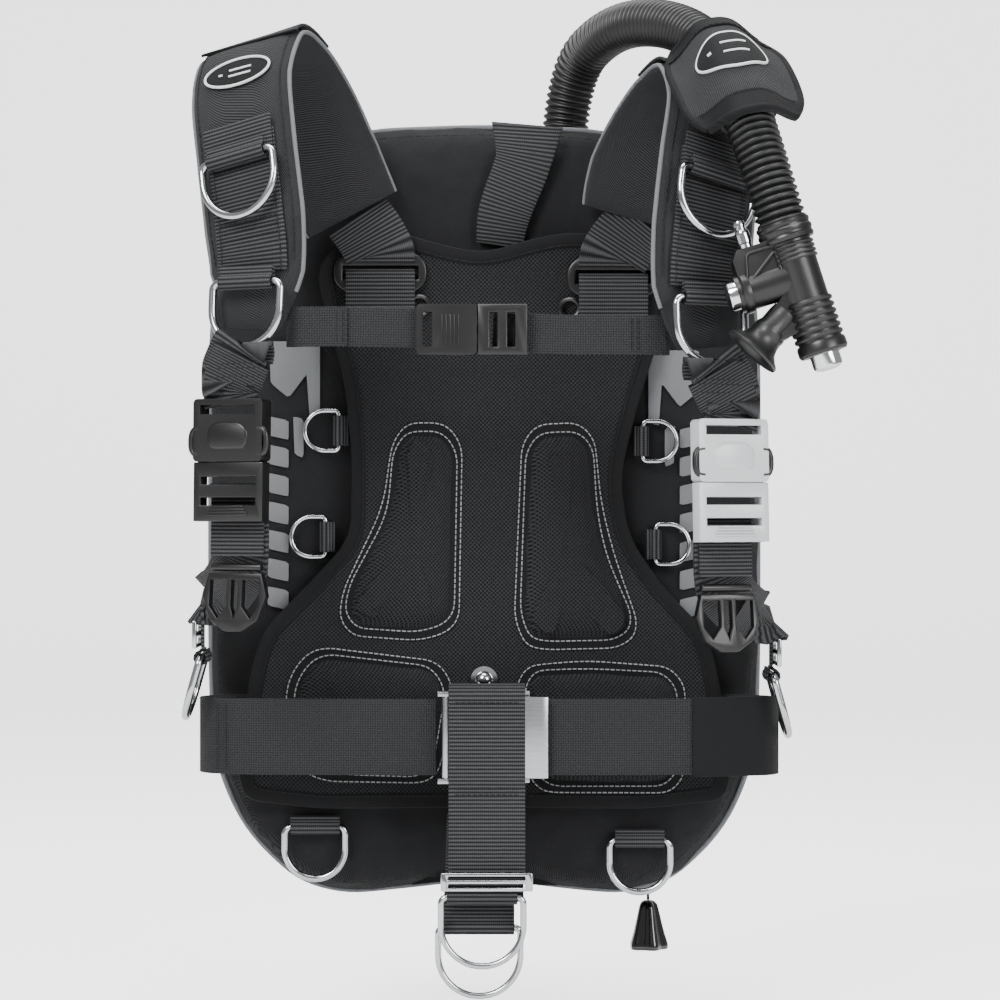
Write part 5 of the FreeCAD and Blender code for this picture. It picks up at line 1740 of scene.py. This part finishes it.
        steps = [oval(scale / 6, 0.0027) for scale in range(7)]
        grid = shaped_grid("sleeve_badge_field", 60, 6,
                           lambda u, v: steps[round(v * 6)][round(u * 60) % 60], (0.06, 0.01))
        dress(smooth(thickened(merged(grid), 0.0016), 60), BINDING, slot="strap_nylon")
        bars = [line_mesh("rim", oval(1.0, 0.0030), 0.0010, True)]
        for v in (0.41, 0.51):
            bars.append(line_mesh("bar", [surface(0.42 + 0.22 * i / 20, v, 0.0034) for i in range(21)],
                                  0.0008))
        bars.append(line_mesh("dot", [surface(0.30 + 0.03 * i / 4, 0.46, 0.0034) for i in range(5)], 0.0012))
        dress(joined("sleeve_badge_rim", bars), BADGE_WHITE, slot="strap_nylon")


@dataclass
class Inflator:
    """The hand unit at the hose's end: grip, branch, hub, ridges, mouthpiece, buttons and inlets."""

    barrel: float = 14.0
    branch_z: float = -34.0

    def __post_init__(self) -> None:
        """Places the unit's own frame at the hose's end."""
        self.frame = axes(mm(187, -252, 264), Vector((0.95, 0.05, 0.3)), Vector((-0.3, 0.05, 0.95)))

    def at(self, x: float, y: float, z: float) -> Vector:
        """A point given in the unit's axes, in millimetres."""
        return self.frame @ mm(x, y, z)

    def turned(self, place: Vector, along: Vector) -> Matrix:
        """A frame whose local Z runs along a direction given in the unit's axes."""
        direction = self.frame.to_3x3() @ along
        side = self.frame.to_3x3().col[1]
        return axes(place, side.cross(direction), direction)

    def build(self) -> None:
        """Builds and dresses the unit."""
        up, left, front = UP, LEFT, FRONT
        mould("inflator_body", "inflator_core", 0.0016, 3, ACETAL, "inflator")
        barrel = self.turned(self.at(0, 0, 0), up)
        collar = [(13.4, -12.4), (16.6, -11.8), (17.4, -9.6), (16.8, -8.4), (16.8, -7), (17.4, -6),
                  (17.4, -4.4),
                  (16.6, -3.4), (16.6, -2), (17.2, -1), (17, 0.6), (15.8, 1.2), (13.4, 1.0), (13.4, -12.4)]
        pieces = [lathe("collar", barrel, collar, 56)]
        for count, start, pitch, root, shoulder, crest, half, flat in (
                (4, -14.8, 3.0, 13.5, 15.0, 15.6, 1.2, 1.0), (6, -52, 4.4, 13.4, 15.2, 15.9, 1.7, 1.4)):
            for i in range(count):
                low = start - i * pitch
                ridge = [(root, low - half), (shoulder, low - flat), (crest, low), (shoulder, low + flat),
                         (root, low + half), (root, low - half)]
                pieces.append(lathe("ridge", barrel, ridge, 48))
        hub = [(0, 3.0), (4.6, 2.9), (5.4, 2.3), (6.4, 2.3), (7, 3.2), (9.8, 3.0), (10.6, 2.0), (10.8, 0),
               (10.8, -4),
               (0, -4)]
        pieces.append(lathe("hub", self.turned(self.at(0, -self.barrel, self.branch_z), front), hub, 56))
        tip = [(10.6, -6), (13.0, -5.8), (13.6, -4.4), (13.6, -1.6), (12.8, -0.4), (10.4, 0.2), (10.0, -1),
               (10.6, -6)]
        pieces.append(lathe("tip", self.turned(self.at(-38.5, 0, self.branch_z), left), tip, 48))
        foot = [(10.6, -8), (15.0, -7.8), (15.8, -6), (15.8, -1.6), (14.6, 0.2), (10.6, 0.6), (10.2, -1),
                (10.6, -8)]
        pieces.append(lathe("foot", self.turned(self.at(0, 0, -85), -up), foot, 56))
        recess = [self.at(x, -9.5, z) for x, z in ((-34, -31), (-8, -31), (-8, -12), (-29, -12))]
        pieces.append(line_mesh("rim", rounded(recess, 0.003, 5, True), 0.0009, True))
        brace = [self.at(x, -9.4, z) for x, z in ((-31, -29), (-11, -29), (-11, -15))]
        pieces.append(line_mesh("brace", rounded(brace, 0.002, 5, True), 0.0012, True))
        dress(joined("inflator_mouldings", pieces), ACETAL, "inflator", "black_acetal")
        self.build_mouthpiece()
        self.build_chrome(up, left)

    def build_mouthpiece(self) -> None:
        """Builds the soft mouthpiece on its tube."""
        start, end = Vector((-8, 0, -50)), Vector((-42, 0, -70))
        along = (end - start).normalized()
        turned = self.turned(self.at(*start), along)
        outer = [(9.4, 8), (9.8, 12), (9.6, 20), (10.4, 22), (11.0, 24), (10.6, 26.5), (11.2, 30),
                 (12.6, 33.5),
                 (15.6, 36.6), (18.2, 38.4), (19.0, 39.8), (18.6, 41.0), (16.8, 41.2), (14.4, 40.4), (12.0,
                                                                                                      38.6),
                 (9.4, 35.2), (8.0, 30), (7.4, 22), (7.2, 8), (9.4, 8)]
        dress(lathe("mouthpiece_rubber", turned, outer, 64), SILICONE, "inflator", "soft_rubber",
              ["mouthpiece"])
        web = [self.at(x, -7.2, z) for x, z in
               ((-9, -42), (-17, -47), (-26, -54), (-31, -60), (-28, -70), (-20, -70), (-10, -66))]
        plate = slab("finger_web", spaced(rounded(web, 0.005, 6, True), 0.002, True), 0.0144, 0.0016)
        dress(plate, ACETAL, "inflator", "black_acetal")

    def build_chrome(self, up: Vector, left: Vector) -> None:
        """Builds the buttons and both inlets.

        Args:
            up: The direction of the barrel.
            left: The direction of the side branch.
        """
        cap = [(0, 5.9), (5.2, 5.8), (6.4, 5.4), (7.8, 5.8), (8.9, 5.4), (9.4, 4.4), (9.4, -7), (8.6, -7.6),
               (0, -7.6)]
        press = lathe("inflate_button_cap", self.turned(self.at(-41, 0, self.branch_z), left), cap, 56)
        dress(press, CHROME, "inflate_button", "chrome_brass", ["inflate_button"])
        cap = [(0, 9.6), (5.6, 9.5), (7.4, 8.8), (9.0, 7.8), (9.4, 6.4), (9.4, -9), (8.6, -9.6), (0, -9.6)]
        vent = lathe("vent_button_cap", self.turned(self.at(0, 0, -86), -up), cap, 56)
        dress(vent, CHROME, "vent_button", "chrome_brass", ["vent_button"])
        inlet = [(0, 10.2), (2.4, 10.2), (3.2, 9.8), (3.6, 8.8), (3.6, 6.6), (3.0, 6.0), (3.0, 4.4),
                 (3.9, 3.8),
                 (4.4, 3.0), (4.45, 1.0), (4.45, -4.4), (3.8, -5), (3.6, -7.8), (0, -7.8)]
        nipple = lathe("inlet_nipple_chrome", self.turned(self.at(-26, 0, 0), up), inlet, 48)
        dress(nipple, CHROME, "inflator", "chrome_brass", ["inlet_nipple"])
        short = [(0, 3.4), (2.6, 3.2), (3.3, 2.4), (3.4, 0.6), (2.8, 0), (2.8, -1.6), (3.6, -2), (3.6, -4),
                 (0, -4)]
        dress(lathe("second_fitting", self.turned(self.at(-12.5, 0, -5.6), up), short, 40), CHROME,
              "inflator",
              "chrome_brass")


# ---------------------------------------------------------------- dump valve and cylinder bands


@dataclass
class DumpValve:
    """The dump valve low on the back of the cell, its cord and the fluted pull knob."""

    place: tuple[float, float, float] = (112.0, -49.2, -138.0)
    knob_top: float = -182.0

    def build(self) -> None:
        """Builds and dresses the valve, cord and knob."""
        x, y, z = self.place
        seat = axes(mm(x, -57.2, z), RIGHT, BACK)
        profile = [(0, 12.0), (9, 11.8), (10, 11.0), (15, 10.8), (16, 12.2), (20, 12.0), (22.6, 10.4),
                   (23.4, 7.4),
                   (24.2, 5.2), (25.6, 4.6), (25.9, 1.4), (25.4, 0.4), (0, 0.4)]
        pieces = [lathe("valve", seat, profile, 64)]
        pieces += ring_of_bars(seat, 10, mm(12.6, 0, 11.4), mm(4.4, 1.6, 1.6), 0.0005)
        dress(joined("dump_valve_moulding", pieces), ACETAL, slot="black_acetal", nodes=["dump_valve"])
        top = mm(x, y, -152)
        path = spaced([top, mm(x, y, self.knob_top)], 0.0006)
        cord = swept("braided_cord", path, lambda d: 0.00094 + 0.00006 * math.cos(d * math.tau / 0.0024), 20)
        dress(cord, CORD, "dump_pull", "pull_cord", ["dump_cord"])
        hang = axes(mm(x, y, self.knob_top - 34), RIGHT, UP)
        bell = [(0, 33.8), (2.6, 33.6), (4.6, 32.8), (6.2, 31.0), (7.2, 28), (8.4, 23), (9.8, 17), (11.4, 11),
                (13.0, 6), (13.8, 3.0), (13.8, 1.4), (13.2, 0.4), (12.0, 0.2), (10.6, 2.0), (0, 6)]
        dress(lathe("fluted_knob", hang, bell, 96, 5, 0.22), GLOSS_KNOB, "dump_pull", "gloss_knob",
              ["dump_knob"])


@dataclass
class CylinderBands:
    """The two bands round the cylinder and their cam buckles."""

    heights: tuple[float, float] = (0.0, 170.0)
    radius: float = 93.2
    tangent: float = 68.3
    front_y: float = -101.2

    def band(self, height: float) -> bpy.types.Object:
        """One closed band at a height."""
        angle = math.radians(self.tangent)
        touch_x, touch_y = self.radius * math.sin(angle), -self.radius * math.cos(angle)
        foot = touch_x - (abs(self.front_y) - abs(touch_y)) / math.tan(angle)
        bend, steps = 0.006, 72
        middle = mm(0, self.front_y, height)
        path = rounded([middle, mm(foot, self.front_y, height), mm(touch_x, touch_y, height)], bend)
        turn = angle - math.pi / 2
        for step in range(1, steps):
            at = turn + (math.pi * 2 - 2 * angle) * step / steps
            path.append(mm(self.radius * math.cos(at), self.radius * math.sin(at), height))
        path += rounded([mm(-touch_x, touch_y, height), mm(-foot, self.front_y, height), middle], bend)
        stations = [Station(point, UP) for point in path]
        return strap("part", station_frames(stations), 0.050, 0.0024)

    def build(self) -> None:
        """Builds and dresses the bands and dresses their buckles."""
        bands = joined("cylinder_band_webbing", [self.band(height) for height in self.heights])
        dress(bands, BELT, slot="webbing", nodes=["cylinder_bands"])
        mould("cam_frames", "cam_buckle_frames", 0.0006, 2, BRUSHED, slot="brushed_stainless")
        carry_over("cam_pins", STAINLESS)
        for name in ("upper", "lower"):
            mould(f"{name}_cam_lever", f"{name}_lever", 0.0007, 2, BRUSHED, f"{name}_cam_lever",
                  "brushed_stainless")
        carry_over("backplate", ANODISED)


# ---------------------------------------------------------------- studio


@dataclass
class Studio:
    """A pale floor that curves up behind the vest, soft lights and the camera."""

    floor_z: float = -0.262
    wall_y: float = 4.5
    camera: tuple[float, float, float] = (0.0106, -2.350, 0.0917)
    lens: float = 120.9

    def floor(self) -> None:
        """The floor, marked as no part of the object."""
        corners = [Vector((0, -self.wall_y, self.floor_z)), Vector((0, self.wall_y, self.floor_z)),
                   Vector((0, self.wall_y, self.wall_y))]
        profile = rounded(corners, 0.8, 12)
        last = len(profile) - 1

        def place(u: float, v: float) -> Vector:
            """The floor's point at u across and v along its profile."""
            point = profile[round(v * last)]
            return Vector(((u - 0.5) * 10, point.y, point.z))

        floor = smooth(shaped_grid("floor", 2, last, place), 60)
        nodes = Nodes("pale_floor")
        nodes.shader.inputs["Base Color"].default_value = linear("fafafa")
        seen = nodes.math("MULTIPLY", nodes.add("LightPath").outputs["Is Camera Ray"], 1.6)
        nodes.shader.inputs["Emission Color"].default_value = linear("ffffff")
        nodes.join(seen, nodes.shader.inputs["Emission Strength"])
        nodes.shader.inputs["Roughness"].default_value = 0.9
        floor.data.materials.append(nodes.material)
        floor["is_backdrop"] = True

    def light(self, name: str, place: Vector, target: Vector, size: float, power: float) -> None:
        """One soft square lamp.

        Args:
            name: The lamp's name.
            place: Where it stands.
            target: What it faces.
            size: Its side in metres.
            power: Its power in watts.
        """
        lamp = bpy.data.lights.new(name, "AREA")
        lamp.size = size
        lamp.energy = power
        item = linked(name, lamp)
        item.location = place
        item.rotation_euler = (target - place).to_track_quat("-Z", "Y").to_euler()

    def build(self) -> None:
        """Builds the floor, lights, world and camera."""
        self.floor()
        middle = Vector((0, -0.12, 0.08))
        self.light("key", Vector((-1.3, -2.2, 1.8)), middle, 1.2, 105)
        self.light("fill", Vector((1.7, -2.0, 0.9)), middle, 1.2, 52)
        self.light("top", Vector((0, -0.2, 2.3)), middle, 1.5, 45)
        self.light("backdrop", Vector((0, 0.2, 2.6)), Vector((0, 1.6, 0.2)), 2.4, 60)
        world = bpy.data.worlds.new("studio")
        world.use_nodes = True
        world.node_tree.nodes["Background"].inputs[0].default_value = (1, 1, 1, 1)
        world.node_tree.nodes["Background"].inputs[1].default_value = 0.4
        bpy.context.scene.world = world
        data = bpy.data.cameras.new("camera")
        data.lens = self.lens
        item = linked("camera", data)
        item.location = self.camera
        item.rotation_euler = (math.radians(90), 0, 0)
        bpy.context.scene.camera = item


# ---------------------------------------------------------------- the whole vest


def note_sizes(title: str, box: tuple[Vector, Vector], sizes: dict[str, list[list[float]]]) -> None:
    """Records a box's corners under a title.

    Args:
        title: Whose box it is.
        box: Its lowest and highest corner.
        sizes: Where they are collected.
    """
    sizes[title] = [list(corner) for corner in box]


def main() -> None:
    """Builds every sub-assembly, then the studio."""
    logging.basicConfig(level=logging.INFO, format="%(asctime)s %(message)s")
    sizes: dict[str, list[list[float]]] = {}
    note_sizes("cad", cad_bounds, sizes)
    assemblies = (AirCell(), BackPad(), ShoulderStraps(), SternumStrap(), SideStraps(), WaistBelt(),
                  CrotchStrap(),
                  LooseRings(), Hose(), Inflator(), DumpValve(), CylinderBands())
    for assembly in assemblies:
        assembly.build()
        log.info("built %s", type(assembly).__name__)
    Studio().build()
    note_sizes("visual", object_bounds(), sizes)


if __name__ == "__main__":
    main()
